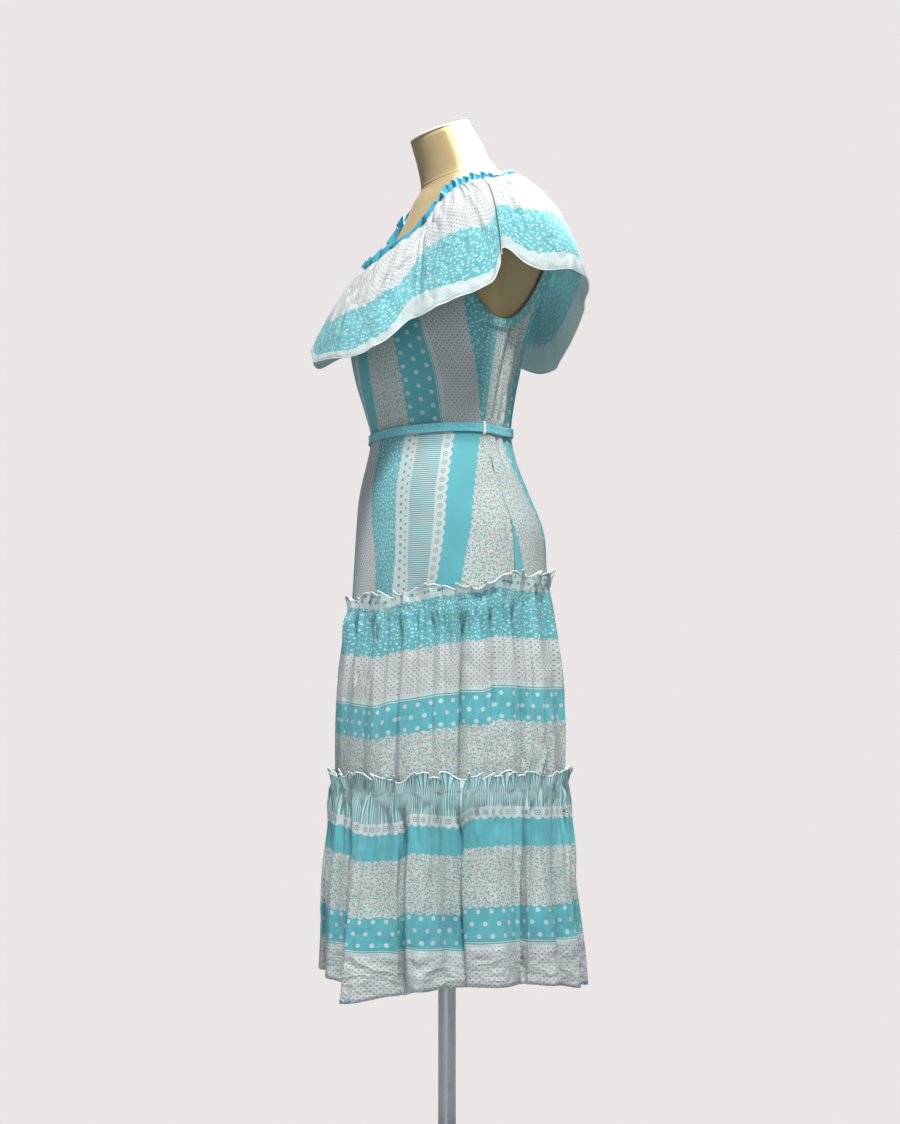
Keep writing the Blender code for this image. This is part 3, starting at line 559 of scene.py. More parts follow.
# %% The node group that draws the print
def strip_colors(net, along, across, place):
    """The colour of each strip at every point."""
    colors = {}
    colors["pin_dots"] = net.mix(net.dots(along, across, 0.74, 0.37, 0.115), WHITE, linear(146, 156, 160))

    fleck, _ = net.flowers(along, across, 0.60, 0.27, 5.0, 3.1)
    speck, _ = net.flowers(along, across, 0.31, 0.20, 3.0, 7.7)
    teal = net.mix(speck, TEAL, linear(132, 202, 208))
    colors["flowered_teal"] = net.mix(fleck, teal, linear(198, 228, 230))

    big = net.length(net.centred(along, 1.15), net.minus(place, 13.85))
    small = net.length(net.centred(along, 1.15, 0.5), net.minus(place, 14.65))
    lace = net.mix(net.dots(along, across, 0.38, 0.30, 0.045), linear(208, 224, 225), linear(120, 160, 164))
    lace = net.mix(net.less(big, 0.23), lace, linear(92, 168, 172))
    colors["lace"] = net.mix(net.less(small, 0.17), lace, linear(122, 160, 162))

    line = net.less(net.math("FRACT", net.over(along, 0.30)), 0.46)
    colors["lines"] = net.mix(line, linear(198, 221, 223), linear(88, 162, 172))

    ring = net.length(net.centred(along, 1.25), net.minus(place, 19.95))
    band = net.math("COMPARE", ring, 0.30, 0.06)
    rings = net.mix(band, linear(210, 222, 223), linear(130, 172, 174))
    colors["rings"] = net.mix(net.less(ring, 0.10), rings, linear(96, 136, 140))

    colors["solid"] = TURQUOISE

    calico = linear(210, 218, 216)
    for cell, radius, petals, seed, color in (
            (0.46, 0.29, 4.0, 1.3, linear(112, 184, 186)), (0.60, 0.23, 5.0, 9.2, linear(124, 158, 172)),
            (0.95, 0.15, 5.0, 5.4, linear(206, 172, 182)), (1.05, 0.14, 3.0, 2.2, linear(196, 196, 146))):
        flower, _ = net.flowers(along, across, cell, radius, petals, seed)
        calico = net.mix(flower, calico, color)
    colors["calico"] = calico

    low = net.minus(place, 32.0)
    colors["big_dots"] = net.mix(net.dots(along, low, 1.83, 1.62, 0.31), TURQUOISE, linear(196, 224, 229))

    bar = net.math("COMPARE", place, 37.0, 0.06)
    edge = net.mix(net.dots(along, across, 0.45, 0.40, 0.07), linear(206, 224, 222), linear(116, 160, 164))
    colors["lace_line"] = net.mix(bar, edge, linear(92, 160, 168))
    return colors


def make_print():
    tree = bpy.data.node_groups.new("patchwork_print", "ShaderNodeTree")
    for name in ("Cloth", "Band"):
        tree.interface.new_socket(name, in_out="INPUT", socket_type="NodeSocketVector")
    tree.interface.new_socket("Color", in_out="OUTPUT", socket_type="NodeSocketColor")
    net = Net(tree)
    inputs = net.node("NodeGroupInput").outputs
    output = net.node("NodeGroupOutput")
    cloth = net.split(inputs[0])
    along = net.times(cloth[0], 100.0)
    across = net.times(cloth[1], 100.0)
    place = net.math("WRAP", net.times(net.split(inputs[1])[1], 100.0), PERIOD, 0.0)
    bump = net.math("ABSOLUTE", net.math("SINE", net.times(along, math.pi / 1.25)))
    colors = strip_colors(net, along, across, place)
    color = colors["pin_dots"]
    for name, start, scallop in STRIPS[1:]:
        edge = net.math("MULTIPLY_ADD", bump, scallop, start)
        color = net.mix(net.math("GREATER_THAN", place, edge), color, colors[name])
    net.put(output.inputs[0], color)
    return tree


PRINT = make_print()


# %% [markdown]
# ## Materials
# Printed cotton and its paler wrong side, white edges, thread, canvas, ivory and steel.

# %% Cotton
def new_material(name, roughness, sheen):
    mat = bpy.data.materials.new(name)
    mat.use_nodes = True
    shader = mat.node_tree.nodes["Principled BSDF"]
    for socket, value in (("Roughness", roughness), ("Sheen Weight", sheen), ("Sheen Roughness", 0.55),
                          ("Specular IOR Level", 0.28)):
        shader.inputs[socket].default_value = value
    return mat, Net(mat.node_tree), shader


def weave_height(net, spot, pitch):
    """A plain weave: threads that pass over and under each other."""
    parts = net.split(spot)
    turns = 2.0 * math.pi / pitch
    warp = net.math("SINE", net.times(parts[0], turns))
    weft = net.math("SINE", net.times(parts[1], turns))
    return net.times(warp, weft)


def crumple(net, spot, scale, x, y, detail):
    """Noise that is longer one way than the other."""
    stretch = net.node("ShaderNodeMapping")
    net.put(stretch.inputs["Vector"], spot)
    stretch.inputs["Scale"].default_value = (x, y, 1.0)
    noise = net.node("ShaderNodeTexNoise")
    net.put(noise.inputs["Vector"], stretch.outputs[0])
    noise.inputs["Scale"].default_value = scale
    noise.inputs["Detail"].default_value = detail
    return noise.outputs[0]


def relief(net, shader, height, strength, distance):
    bump = net.node("ShaderNodeBump")
    bump.inputs["Strength"].default_value = strength
    bump.inputs["Distance"].default_value = distance
    net.put(bump.inputs["Height"], height)
    net.put(shader.inputs["Normal"], bump.outputs[0])


def printed(name, fade, crinkle, hem=0.0, ground=linear(222, 226, 222)):
    """Printed cotton. Fade is how much of the ground colour shows through: a pale ground as on the wrong
    side, and on the belt a light turquoise ground that is partly the belt's own paler tone and partly painted
    light.
    Hem is how much more the lowest strip of the second tier is crumpled."""
    mat, net, shader = new_material(name, 0.86, 0.18)
    shader.inputs["Subsurface Weight"].default_value = 0.5
    shader.inputs["Subsurface Radius"].default_value = (1.0, 1.0, 1.0)
    shader.inputs["Subsurface Scale"].default_value = 0.0026
    cloth = net.node("ShaderNodeUVMap", uv_map="cloth").outputs[0]
    band = net.node("ShaderNodeUVMap", uv_map="band").outputs[0]
    group = net.node("ShaderNodeGroup", node_tree=PRINT)
    net.put(group.inputs[0], cloth)
    net.put(group.inputs[1], band)
    color = net.mix(fade, group.outputs[0], ground)
    worn = crumple(net, cloth, 14.0, 1.0, 1.0, 4.0)
    shade = net.math("MULTIPLY_ADD", worn, 0.44, 0.77)
    grey = net.node("ShaderNodeCombineColor")
    for socket in grey.inputs:
        net.put(socket, shade)
    net.put(shader.inputs["Base Color"], net.mix(1.0, color, grey.outputs[0], "MULTIPLY"))
    weave = weave_height(net, cloth, 0.0007)
    soft = crumple(net, cloth, 70.0, 1.0, 0.6, 4.0)
    sharp = net.math("ABSOLUTE", net.minus(crumple(net, cloth, 24.0, 1.0, 0.7, 2.0), 0.5))
    height = net.plus(net.times(soft, 0.30 * crinkle), net.times(sharp, 2.6 * crinkle))
    if hem:
        low = net.limited(net.times(net.minus(net.split(cloth)[1], 0.355), 25.0))
        ridge = net.math("ABSOLUTE", net.minus(crumple(net, cloth, 34.0, 0.55, 1.0, 3.0), 0.5))
        height = net.math("MULTIPLY_ADD", net.times(low, ridge), -hem, height)
    height = net.math("MULTIPLY_ADD", weave, 0.04, height)
    relief(net, shader, height, 1.0, 0.0060)
    return mat


def plain_cotton(name, color, scale):
    mat, net, shader = new_material(name, 0.84, 0.2)
    spot = net.node("ShaderNodeTexCoord").outputs["Object"]
    noise = crumple(net, spot, scale, 1.0, 1.0, 3.0)
    deep = tuple(v * 0.78 for v in color[:3]) + (1.0,)
    net.put(shader.inputs["Base Color"], net.mix(noise, deep, color))
    relief(net, shader, noise, 0.5, 0.0008)
    return mat


COTTON = printed("printed_cotton", 0.0, 0.4)
FULL_COTTON = printed("printed_cotton_gathered", 0.0, 1.5)
HEM_COTTON = printed("printed_cotton_crumpled", 0.0, 1.5, 9.0)
DRAPED_COTTON = printed("printed_cotton_draped", 0.0, 2.5)
# The belt's cotton is lightened toward pale turquoise: partly its own paler tone, partly painted light for
# the light its rounded front catches below the collar's shade.
BELT_COTTON_PAINTED_LIGHT = printed("printed_cotton_belt_painted_light", 0.60, 0.3, 0.0, linear(128, 228, 246))
COTTON_BACK = printed("printed_cotton_wrong_side", 0.34, 1.4, 0.0, linear(190, 228, 230))
EDGE = plain_cotton("white_rolled_edge", linear(240, 244, 242), 420.0)
THREAD = plain_cotton("pale_thread", linear(214, 228, 228), 900.0)
LOOP = plain_cotton("white_loop_cotton", linear(238, 240, 236), 380.0)
FRILL = plain_cotton("turquoise_frill_cotton", linear(66, 158, 184), 300.0)


# %% Canvas, ivory and steel
def canvas():
    mat, net, shader = new_material("cream_canvas", 0.78, 0.1)
    spot = net.node("ShaderNodeUVMap", uv_map="cloth").outputs[0]
    patch = crumple(net, spot, 9.0, 1.0, 1.0, 5.0)
    slub = crumple(net, spot, 60.0, 1.0, 14.0, 3.0)
    ground = net.mix(patch, linear(154, 134, 97), linear(188, 169, 131))
    thread = net.times(slub, 0.35)
    net.put(shader.inputs["Base Color"], net.mix(thread, ground, linear(143, 121, 82)))
    height = net.math("MULTIPLY_ADD", weave_height(net, spot, 0.0011), 0.25, slub)
    relief(net, shader, height, 0.35, 0.0006)
    return mat


def ivory():
    mat, net, shader = new_material("ivory_neck_plate", 0.42, 0.0)
    spot = net.node("ShaderNodeTexCoord").outputs["Object"]
    cloud = crumple(net, spot, 26.0, 1.0, 1.0, 5.0)
    net.put(shader.inputs["Base Color"], net.mix(cloud, linear(226, 218, 198), linear(246, 241, 228)))
    relief(net, shader, cloud, 0.15, 0.0006)
    return mat


def steel():
    mat, net, shader = new_material("satin_steel", 0.34, 0.0)
    shader.inputs["Metallic"].default_value = 1.0
    spot = net.node("ShaderNodeTexCoord").outputs["Object"]
    streak = crumple(net, spot, 40.0, 30.0, 1.0, 4.0)
    net.put(shader.inputs["Base Color"], net.mix(streak, linear(150, 152, 154), linear(198, 199, 200)))
    net.put(shader.inputs["Roughness"], net.math("MULTIPLY_ADD", streak, 0.22, 0.24))
    relief(net, shader, streak, 0.12, 0.0003)
    return mat


CANVAS = canvas()
IVORY = ivory()
STEEL = steel()


# %% [markdown]
# ## Making pieces
# A cloth piece is a grid of points with its two UV maps, made thick by a modifier. Its inner
# side takes the second material.

# %% Grids, tubes and stitches
def face_grid(rows, cols, closed):
    """Corner rows and columns of every face of a grid."""
    r, c = np.mgrid[0:rows - 1, 0:cols if closed else cols - 1]
    return (np.stack((r, r, r + 1, r + 1), -1).reshape(-1, 4),
            np.stack((c, c + 1, c + 1, c), -1).reshape(-1, 4))


def new_object(name, verts, faces, mats):
    mesh = bpy.data.meshes.new(name)
    mesh.from_pydata(np.asarray(verts).reshape(-1, 3).tolist(), [], faces)
    mesh.shade_smooth()
    for mat in mats:
        mesh.materials.append(mat)
    obj = bpy.data.objects.new(name, mesh)
    bpy.context.scene.collection.objects.link(obj)
    return obj


def cloth_grid(name, points, closed, cloth, band, mats, thick, side=-1.0):
    """A grid of points as a cloth wall. The UV arrays have one more column if it is closed."""
    rows, cols = points.shape[:2]
    r, c = face_grid(rows, cols, closed)
    flat = points.reshape(-1, 3)
    index = r * cols + c % cols
    across = flat[index[:, 2]] - flat[index[:, 0]]
    other = flat[index[:, 3]] - flat[index[:, 1]]
    centre = flat[index].mean(1)
    centre[:, 2] = 0.0
    if np.sum(np.cross(across, other) * centre) < 0.0:
        r, c, index = r[:, ::-1], c[:, ::-1], index[:, ::-1]
    obj = new_object(name, points, index.tolist(), mats)
    for label, values in (("cloth", cloth), ("band", band)):
        layer = obj.data.uv_layers.new(name=label)
        layer.uv.foreach_set("vector", values[r, c].reshape(-1).astype(np.float32))
    if thick > 0.0:
        wall = obj.modifiers.new("wall", "SOLIDIFY")
        wall.thickness = thick
        wall.offset = side
        wall.use_even_offset = False
        wall.material_offset = len(mats) - 1
    return obj


def tube(name, path, radius, closed, mat, sides=8, out=None, flatten=1.0):
    """A round or flattened tube along a path of points."""
    tangent = np.roll(path, -1, 0) - np.roll(path, 1, 0)
    if not closed:
        tangent[0] = path[1] - path[0]
        tangent[-1] = path[-1] - path[-2]
    tangent = unit(tangent)
    out = np.tile((0.0, 0.0, 1.0), (len(path), 1)) if out is None else out
    first = unit(np.cross(tangent, out))
    second = np.cross(first, tangent)
    turn = np.linspace(0.0, 2.0 * np.pi, sides, endpoint=False)[None, :, None]
    rings = path[:, None] + radius * (first[:, None] * np.cos(turn)
                                      + flatten * second[:, None] * np.sin(turn))
    n = len(path)
    faces = []
    for i in range(n if closed else n - 1):
        k = (i + 1) % n
        for j in range(sides):
            m = (j + 1) % sides
            faces.append((i * sides + j, i * sides + m, k * sides + m, k * sides + j))
    if not closed:
        faces.append(tuple(range(sides - 1, -1, -1)))
        faces.append(tuple((n - 1) * sides + j for j in range(sides)))
    return new_object(name, rings, faces, [mat])


def stitches(name, path, out, pitch, share, radius, mat=None):
    """A row of separate short stitches, each a bent capsule that dips into the cloth."""
    steps = np.linalg.norm(np.diff(path, axis=0), axis=1)
    place = np.concatenate(([0.0], np.cumsum(steps)))
    count = int(place[-1] / pitch)
    verts = []
    faces = []
    lift = (-0.9, 0.25, 0.55, 0.25, -0.9)
    thick = (0.35, 0.9, 1.0, 0.9, 0.35)
    for i in range(count):
        spots = (i + 0.5 + share * np.linspace(-0.5, 0.5, 5)) * place[-1] / count
        line = np.stack([np.interp(spots, place, path[:, k]) for k in range(3)], -1)
        n = unit(np.array([np.interp(spots[2], place, out[:, k]) for k in range(3)]))
        side = unit(np.cross(line[-1] - line[0], n))
        base = len(verts)
        for p, up, wide in zip(line, lift, thick):
            for a in (0.0, 1.571, 3.142, 4.712):
                verts.append(p + n * radius * up + radius * wide * (side * math.cos(a) + n * math.sin(a)))
        for j in range(4):
            for k in range(4):
                m = (k + 1) % 4
                faces.append((base + 4 * j + k, base + 4 * j + m, base + 4 * j + 4 + m, base + 4 * j + 4 + k))
        faces.append((base + 3, base + 2, base + 1, base))
        faces.append((base + 16, base + 17, base + 18, base + 19))
    return new_object(name, verts, faces, [mat or THREAD])


def pairs(x, y):
    x, y = np.broadcast_arrays(x, y)
    return np.stack((x, y), -1)


def wear(obj, slot, *nodes):
    """The piece rides on the body and stands for its solids."""
    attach(obj, "root")
    if nodes:
        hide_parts(*nodes)
    return obj


def sew(name, surface, deg, run, pitch, share, radius, step=0.3, mat=None):
    """A row of stitches along a surface, on the side that faces away from the pole."""
    line = surface(deg, run)
    out = normal_of(surface, deg, run, step, 0.004)
    out = np.where(np.sum(out[:, :2] * line[:, :2], 1, keepdims=True) < 0.0, -out, out)
    wear(stitches(name, line, out, pitch, share, radius, mat), "printed_cotton")


def ring_length(line):
    """Running length along a closed line of points."""
    return np.concatenate(([0.0], np.cumsum(np.linalg.norm(np.roll(line, -1, 0) - line, axis=1))))


def round_noise(deg, knots, seed):
    """Smooth random values between -1 and 1 round the body."""
    values = np.random.default_rng(seed).uniform(-1.0, 1.0, knots)
    at = np.asarray(deg, float) % 360.0 / 360.0 * knots
    i = np.floor(at).astype(int)
    u = ease(at - i)
    return values[i % knots] * (1.0 - u) + values[(i + 1) % knots] * u


def puckers(deg, knots, seed):
    """Round crests of uneven size between narrow valleys."""
    return 2.6 * np.sqrt(round_noise(deg, knots, seed)**2 + 0.002) - 1.9


def creases(table, deg, run, fade=0.10):
    """Valleys and ridges along lines. Columns: angle and run at one end and the other, width in
    degrees, push outward."""
    total = np.zeros(np.broadcast(deg, run).shape)
    for deg_0, run_0, deg_1, run_1, width, push in table:
        share = np.clip((run - run_0) / (run_1 - run_0), 0.0, 1.0)
        off = signed(deg - deg_0 - (deg_1 - deg_0) * share) / width
        ends = ease((run - run_0) / fade + 0.15) * ease((run_1 - run) / fade + 0.15)
        total += push * ends * (np.exp(-off**2) - 0.30 * np.exp(-((np.abs(off) - 2.2) / 1.1)**2))
    return total


def laps(table, deg, run):
    """Slide round the body, in degrees, where one fold lies over the next. Columns: angle and run
    at one end and the other, width in degrees, slide."""
    total = np.zeros(np.broadcast(deg, run).shape)
    for deg_0, run_0, deg_1, run_1, width, slide in table:
        share = np.clip((run - run_0) / (run_1 - run_0), 0.0, 1.0)
        off = signed(deg - deg_0 - (deg_1 - deg_0) * share) / width
        ends = ease((run - run_0) / 0.3) * ease((run_1 - run) / 0.1)
        total -= slide * ends * off * np.exp(-off**2)
    return total


# %% [markdown]
# ## The dress form
# A smooth canvas torso with a seam round the neck, and a turned ivory plate on top.

# %% Torso, neck seam and neck plate
degs = np.linspace(0.0, 360.0, AROUND, endpoint=False)
levels = np.unique(np.concatenate((np.linspace(0.745, NECK_TOP, 110),
                                   NECK_SEAM + np.linspace(-0.003, 0.003, 9))))
grid_deg, grid_level = np.meshgrid(degs, levels)
torso = body(grid_deg, grid_level)
off_seam = grid_level - NECK_SEAM
groove = -0.0007 * bell(off_seam, 0.0007) + 0.0003 * bell(np.abs(off_seam) - 0.0019, 0.0009)
torso = torso + normal_of(body, grid_deg, grid_level, *PANEL_STEP) * groove[..., None]
hub = torso[0].mean(0)
underside = [hub + (torso[0] - hub) * share for share in (0.02, 0.5, 0.97)]
for ring in underside:
    ring[:, 2] = torso[0, 0, 2]
torso[0] += (0.0, 0.0, 0.0015)
top_hub = torso[-1].mean(0)
closing = [top_hub + (torso[-1] - top_hub) * share for share in (0.985, 0.5, 0.02)]
full = np.concatenate((np.array(underside), torso, np.array(closing)))
around = np.linspace(0.0, 1.0, AROUND + 1)[None, :] * 0.9
rise = np.concatenate(([0.60, 0.66, 0.74], levels, [1.51, 1.55, 1.60]))[:, None]
form = cloth_grid("canvas_torso", full, True, pairs(around, rise), pairs(around * 0, rise), [CANVAS], 0.0)
wear(form, "form_canvas", "form_body")

ring_deg = np.append(degs, 0.0)
seam_line = body(ring_deg, NECK_SEAM)
seam_out = normal_of(body, ring_deg, NECK_SEAM, *PANEL_STEP)
wear(stitches("neck_seam_stitches", seam_line + (0, 0, 0.0022), seam_out, 0.0042, 0.6, 0.00022),
     "form_canvas")

rim = body(degs, NECK_TOP)
middle = rim.mean(0)
up = unit(np.cross(rim[AROUND // 4] - middle, rim[AROUND // 2] - middle))
up = up if up[2] > 0 else -up
plate = [middle + (rim - middle) * grow + up * lift for grow, lift in (
    (0.02, 0.0004), (0.985, 0.0004), (1.020, 0.0007), (1.027, 0.0014), (1.027, 0.0024), (1.018, 0.0031),
    (0.985, 0.0034), (0.90, 0.0036), (0.50, 0.0040), (0.02, 0.0041))]
flat_uv = np.zeros((len(plate), AROUND + 1, 2))
cap = cloth_grid("neck_plate", np.array(plate), True, flat_uv, flat_uv, [IVORY], 0.0)
wear(cap, "cap_ivory", "form_neck_cap")

# %% [markdown]
# ## The stand
# The pole and the base keep their solids' shapes and get satin steel.

# %% Steel on the stand
for name in ("form_pole", "form_base"):
    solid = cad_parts[name]
    for place in solid.material_slots:
        place.material = STEEL

# %% [markdown]
# ## Bodice
# The strips of the print lean back as they go down. Tables give the angle at which each strip
# starts, at several levels.

# %% Strip places on the bodice and the yoke
BODICE_STARTS = np.array((20.5, 24.6, 32.1, 36.8, 37.7, 43.7, 50.7)) / 100.0
# Columns: level, then the angle where each strip starts.
BODICE_STRIPS = np.array([
    (1.050, -12.0, 7.0, 41.6, 69.5, 73.8, 102.0, 133.0),
    (1.062, -11.0, 8.0, 41.6, 68.9, 73.1, 101.3, 132.0),
    (1.140, -3.6, 15.4, 41.4, 64.8, 68.4, 93.1, 124.0),
    (1.200, -3.0, 15.7, 37.5, 56.2, 58.7, 84.9, 115.0),
    (1.270, -4.0, 14.0, 33.0, 50.0, 52.5, 78.0, 108.0),
    (1.420, -8.0, 10.0, 29.0, 46.0, 48.0, 72.0, 102.0),
])
YOKE_STARTS = np.array((6.0, 13.0, 15.2, 19.2, 20.5, 24.6, 32.1)) / 100.0
YOKE_STRIPS = np.array([
    (0.790, 20.0, 33.0, 43.5, 53.0, 57.0, 72.5, 108.0),
    (0.834, 19.5, 33.6, 43.4, 54.1, 58.7, 74.3, 109.0),
    (0.868, 18.5, 34.4, 43.0, 55.6, 60.8, 76.6, 110.0),
    (0.937, 12.5, 34.8, 43.8, 59.4, 65.3, 83.3, 118.0),
    (1.033, 9.4, 38.3, 49.4, 68.7, 75.5, 99.2, 140.0),
    (1.056, 8.6, 39.5, 51.0, 71.0, 78.0, 103.0, 145.0),
])


def strip_place(table, starts, deg, level):
    """Place across the strips at points of the body."""
    edges = np.moveaxis(table_at(table, level)[..., 1:], -1, 0)
    place = starts[0] + np.minimum(deg - edges[0], 0.0) * 0.0023
    for low, high, a, b in zip(edges, edges[1:], starts, starts[1:]):
        place = place + np.clip((deg - low) / (high - low), 0.0, 1.0) * (b - a)
    return place + np.maximum(deg - edges[-1], 0.0) * 0.0023


# %% Bodice panels
# Soft creases. Columns as the creases function reads them, with the level as the run.
BODICE_CREASES = [(38.0, 1.058, 33.0, 1.165, 1.1, -0.0016), (-38.0, 1.058, -33.0, 1.165, 1.1, -0.0016),
                  (60.0, 1.058, 52.0, 1.12, 2.0, -0.0010), (-62.0, 1.058, -54.0, 1.12, 2.0, -0.0010),
                  (84.0, 1.058, 96.0, 1.13, 2.2, -0.0012), (-84.0, 1.058, -97.0, 1.13, 2.2, -0.0012),
                  (75.0, 1.060, 60.0, 1.19, 3.0, -0.0009), (150.0, 1.058, 146.0, 1.17, 1.2, -0.0014),
                  (-150.0, 1.058, -146.0, 1.17, 1.2, -0.0014), (122.0, 1.058, 128.0, 1.14, 3.0, -0.0012),
                  (-124.0, 1.058, -128.0, 1.15, 3.0, -0.0012), (170.0, 1.058, 176.0, 1.12, 3.0, -0.0010),
                  (116.0, 1.07, 120.0, 1.24, 2.2, -0.0036), (127.0, 1.06, 124.0, 1.22, 2.0, 0.0034),
                  (136.0, 1.06, 132.0, 1.24, 2.4, -0.0036), (-118.0, 1.07, -121.0, 1.23, 2.2, -0.0028),
                  (-134.0, 1.06, -131.0, 1.24, 2.4, -0.0028), (99.0, 1.07, 101.0, 1.17, 1.6, -0.0016)]


def bodice_cloth(deg, level):
    near = np.exp(-((level - WAIST) / 0.018)**2)
    pull = 0.0006 * near * np.cos(np.radians(deg) * 31 + 2.0 * np.sin(np.radians(deg) * 5))
    soft = creases(BODICE_CREASES, deg, level, 0.02) + pull
    return bodice(deg, level) + normal_of(bodice, deg, level, *PANEL_STEP) * soft[..., None]


low = ARM_MID - ARM_HALF
beside_arm = ARM_MID - ARM_HALF * np.cos(np.linspace(0, np.pi, 56))
runs = np.unique(np.concatenate((np.linspace(0.0, low, 42), beside_arm,
                                 np.linspace(ARM_MID + ARM_HALF, 1.0, 16))))[:, None]
inset = math.degrees(SEAM_GAP / 2 / 0.13)
front_half = seam_deg(runs) - ARM_FRONT * arm_cut(runs) - inset
back_half = 180.0 - seam_deg(runs) - ARM_BACK * arm_cut(runs) - inset
for name, half, cols, turn in (("bodice_front", front_half, 150, 0.0),
                               ("bodice_back", back_half, 110, 180.0)):
    deg = turn + half * np.linspace(-1.0, 1.0, cols)[None, :]
    level = panel_level(deg, runs)
    points = bodice_cloth(deg, level)
    if turn:
        place = 0.262 + (deg - SEAM_DEG) * 0.0021 + (1.06 - level) * 0.02
    else:
        place = strip_place(BODICE_STRIPS, BODICE_STARTS, signed(deg), level)
    obj = cloth_grid(name + "_cloth", points, False, pairs(level, place), pairs(level * 0, place),
                     [COTTON, COTTON_BACK], CLOTH)
    wear(obj, "printed_cotton", name)

# %% [markdown]
# ## Armhole bindings
# A folded strip covers each armhole's cut edge, with a row of stitches near its inner edge.

# %% Bindings
def panel_side(side):
    return lambda deg, run: panel(side * deg, run)


def binding(side, label):
    k = np.linspace(0.0, np.pi, 49)
    arm = ARM_MID - ARM_HALF * np.cos(k)
    front = np.stack((seam_deg(arm) - ARM_FRONT * arm_cut(arm), arm), -1)
    back = np.stack((seam_deg(arm) + ARM_BACK * arm_cut(arm), arm), -1)[1:-1][::-1]
    spots = np.concatenate((front, back))
    surface = panel_side(side)
    here = surface(spots[:, 0], spots[:, 1])
    n = normal_of(surface, spots[:, 0], spots[:, 1], 0.5, 0.004) * side
    tangent = np.roll(here, -1, 0) - np.roll(here, 1, 0)
    away = unit(np.cross(n, tangent))
    centre = surface(np.array(seam_deg(ARM_MID)), np.array(ARM_MID))
    away = np.where(np.sum(away * (centre - here), -1, keepdims=True) > 0.0, -away, away)
    far = []
    for (d, r), aim in zip(spots, away):
        across = np.column_stack((surface(d + 0.5, r) - surface(d - 0.5, r),
                                  surface(d, r + 0.005) - surface(d, r - 0.005)))
        step = np.linalg.lstsq(across, aim * BINDING, rcond=None)[0]
        far.append(surface(d + step[0], r + step[1] * 0.01))
    far = np.array(far)
    on = (0.0013 + 0.0016 * np.maximum(0.0, (spots[:, 1] - 0.6) / 0.25)**2)[:, None]
    wave = 0.00025 * np.sin(np.arange(len(spots)) * 1.9)[:, None]
    rows = [far + n * (on - 0.0003), far + n * (on + 0.0008), far * 0.8 + here * 0.2 + n * (on + 0.0012),
            far * 0.5 + here * 0.5 + n * (on + 0.0013 + wave), far * 0.2 + here * 0.8 + n * (on + 0.0012),
            here - away * 0.0012 + n * (on + 0.0010), here - away * 0.0024 + n * on,
            here - away * 0.0026 + n * 0.0002, here - away * 0.0020 - n * 0.0008]
    points = np.array(rows)
    length = ring_length(here)[None, :]
    wide = np.linspace(0.0, 0.016, len(rows))[:, None]
    obj = cloth_grid(f"armhole_binding_{label}_cloth", points, True, pairs(length, wide),
                     pairs(length * 0, 0.078 + wide * 2.0), [COTTON, COTTON_BACK], 0.0005)
    wear(obj, "trim_cotton", f"armhole_binding_{label}")
    line = far * 0.82 + here * 0.18 + n * (on + 0.00125)
    line = np.vstack((line, line[:1]))
    wear(stitches(f"binding_stitches_{label}", line, np.vstack((n, n[:1])), 0.0032, 0.62, 0.00022),
         "trim_cotton")


binding(1.0, "left")
binding(-1.0, "right")

# %% [markdown]
# ## Upper skirt
# Two flared panels. A sliver of turquoise shows behind the side seam.

# %% Skirt yoke
YOKE_CREASES = [(101.0, 0.0, 112.0, 0.42, 1.5, -0.0026), (118.0, 0.0, 123.0, 0.30, 2.2, -0.0030),
                (128.0, 0.0, 131.0, 0.22, 2.0, -0.0024), (-102.0, 0.0, -111.0, 0.40, 1.8, -0.0024),
                (-120.0, 0.0, -126.0, 0.30, 2.4, -0.0026), (20.0, 0.0, 21.0, 0.28, 2.2, -0.0010),
                (-24.0, 0.0, -26.0, 0.30, 2.4, -0.0010), (160.0, 0.0, 158.0, 0.34, 2.4, -0.0018),
                (-158.0, 0.0, -156.0, 0.34, 2.4, -0.0018), (62.0, 0.35, 54.0, 1.0, 5.0, -0.0012),
                (-62.0, 0.35, -56.0, 1.0, 5.0, -0.0012), (104.0, 0.5, 104.0, 1.0, 3.0, -0.0016)]


def yoke_cloth(deg, share):
    high = WAIST - GAP
    level = high + (head_1(deg) - LAP - high) * share
    push = creases(YOKE_CREASES, signed(deg), share) * ease(share / 0.03)
    push = np.minimum(push, 0.0006) * np.where(share > 0.88, 0.4, 1.0)
    return skirt(YOKE, deg, level, push), level


share = np.linspace(0.0, 1.0, 84)[:, None]
edge = SEAM_DEG - inset
for name, turn, half, cols in (("skirt_yoke_front", 0.0, edge, 170),
                               ("skirt_yoke_back", 180.0, 180.0 - 2 * SEAM_DEG + edge, 120)):
    deg = turn + half * np.linspace(-1.0, 1.0, cols)[None, :]
    points, level = yoke_cloth(deg, share)
    if turn:
        first = np.interp(level, (0.79, 0.834, 0.868, 0.937, 1.033, 1.06),
                          (118.5, 117.0, 114.5, 107.5, 97.0, 95.0))
        place = 0.246 + (deg - first) * 0.0025
    else:
        place = strip_place(YOKE_STRIPS, YOKE_STARTS, signed(deg), level)
    obj = cloth_grid(name + "_cloth", points, False, pairs(level, place), pairs(level * 0, place),
                     [COTTON, COTTON_BACK], CLOTH)
    wear(obj, "printed_cotton", name)

# %% [markdown]
# ## Gathered tiers
# Each tier stands up in a frill above its stitching and falls in gathers and folds below it.

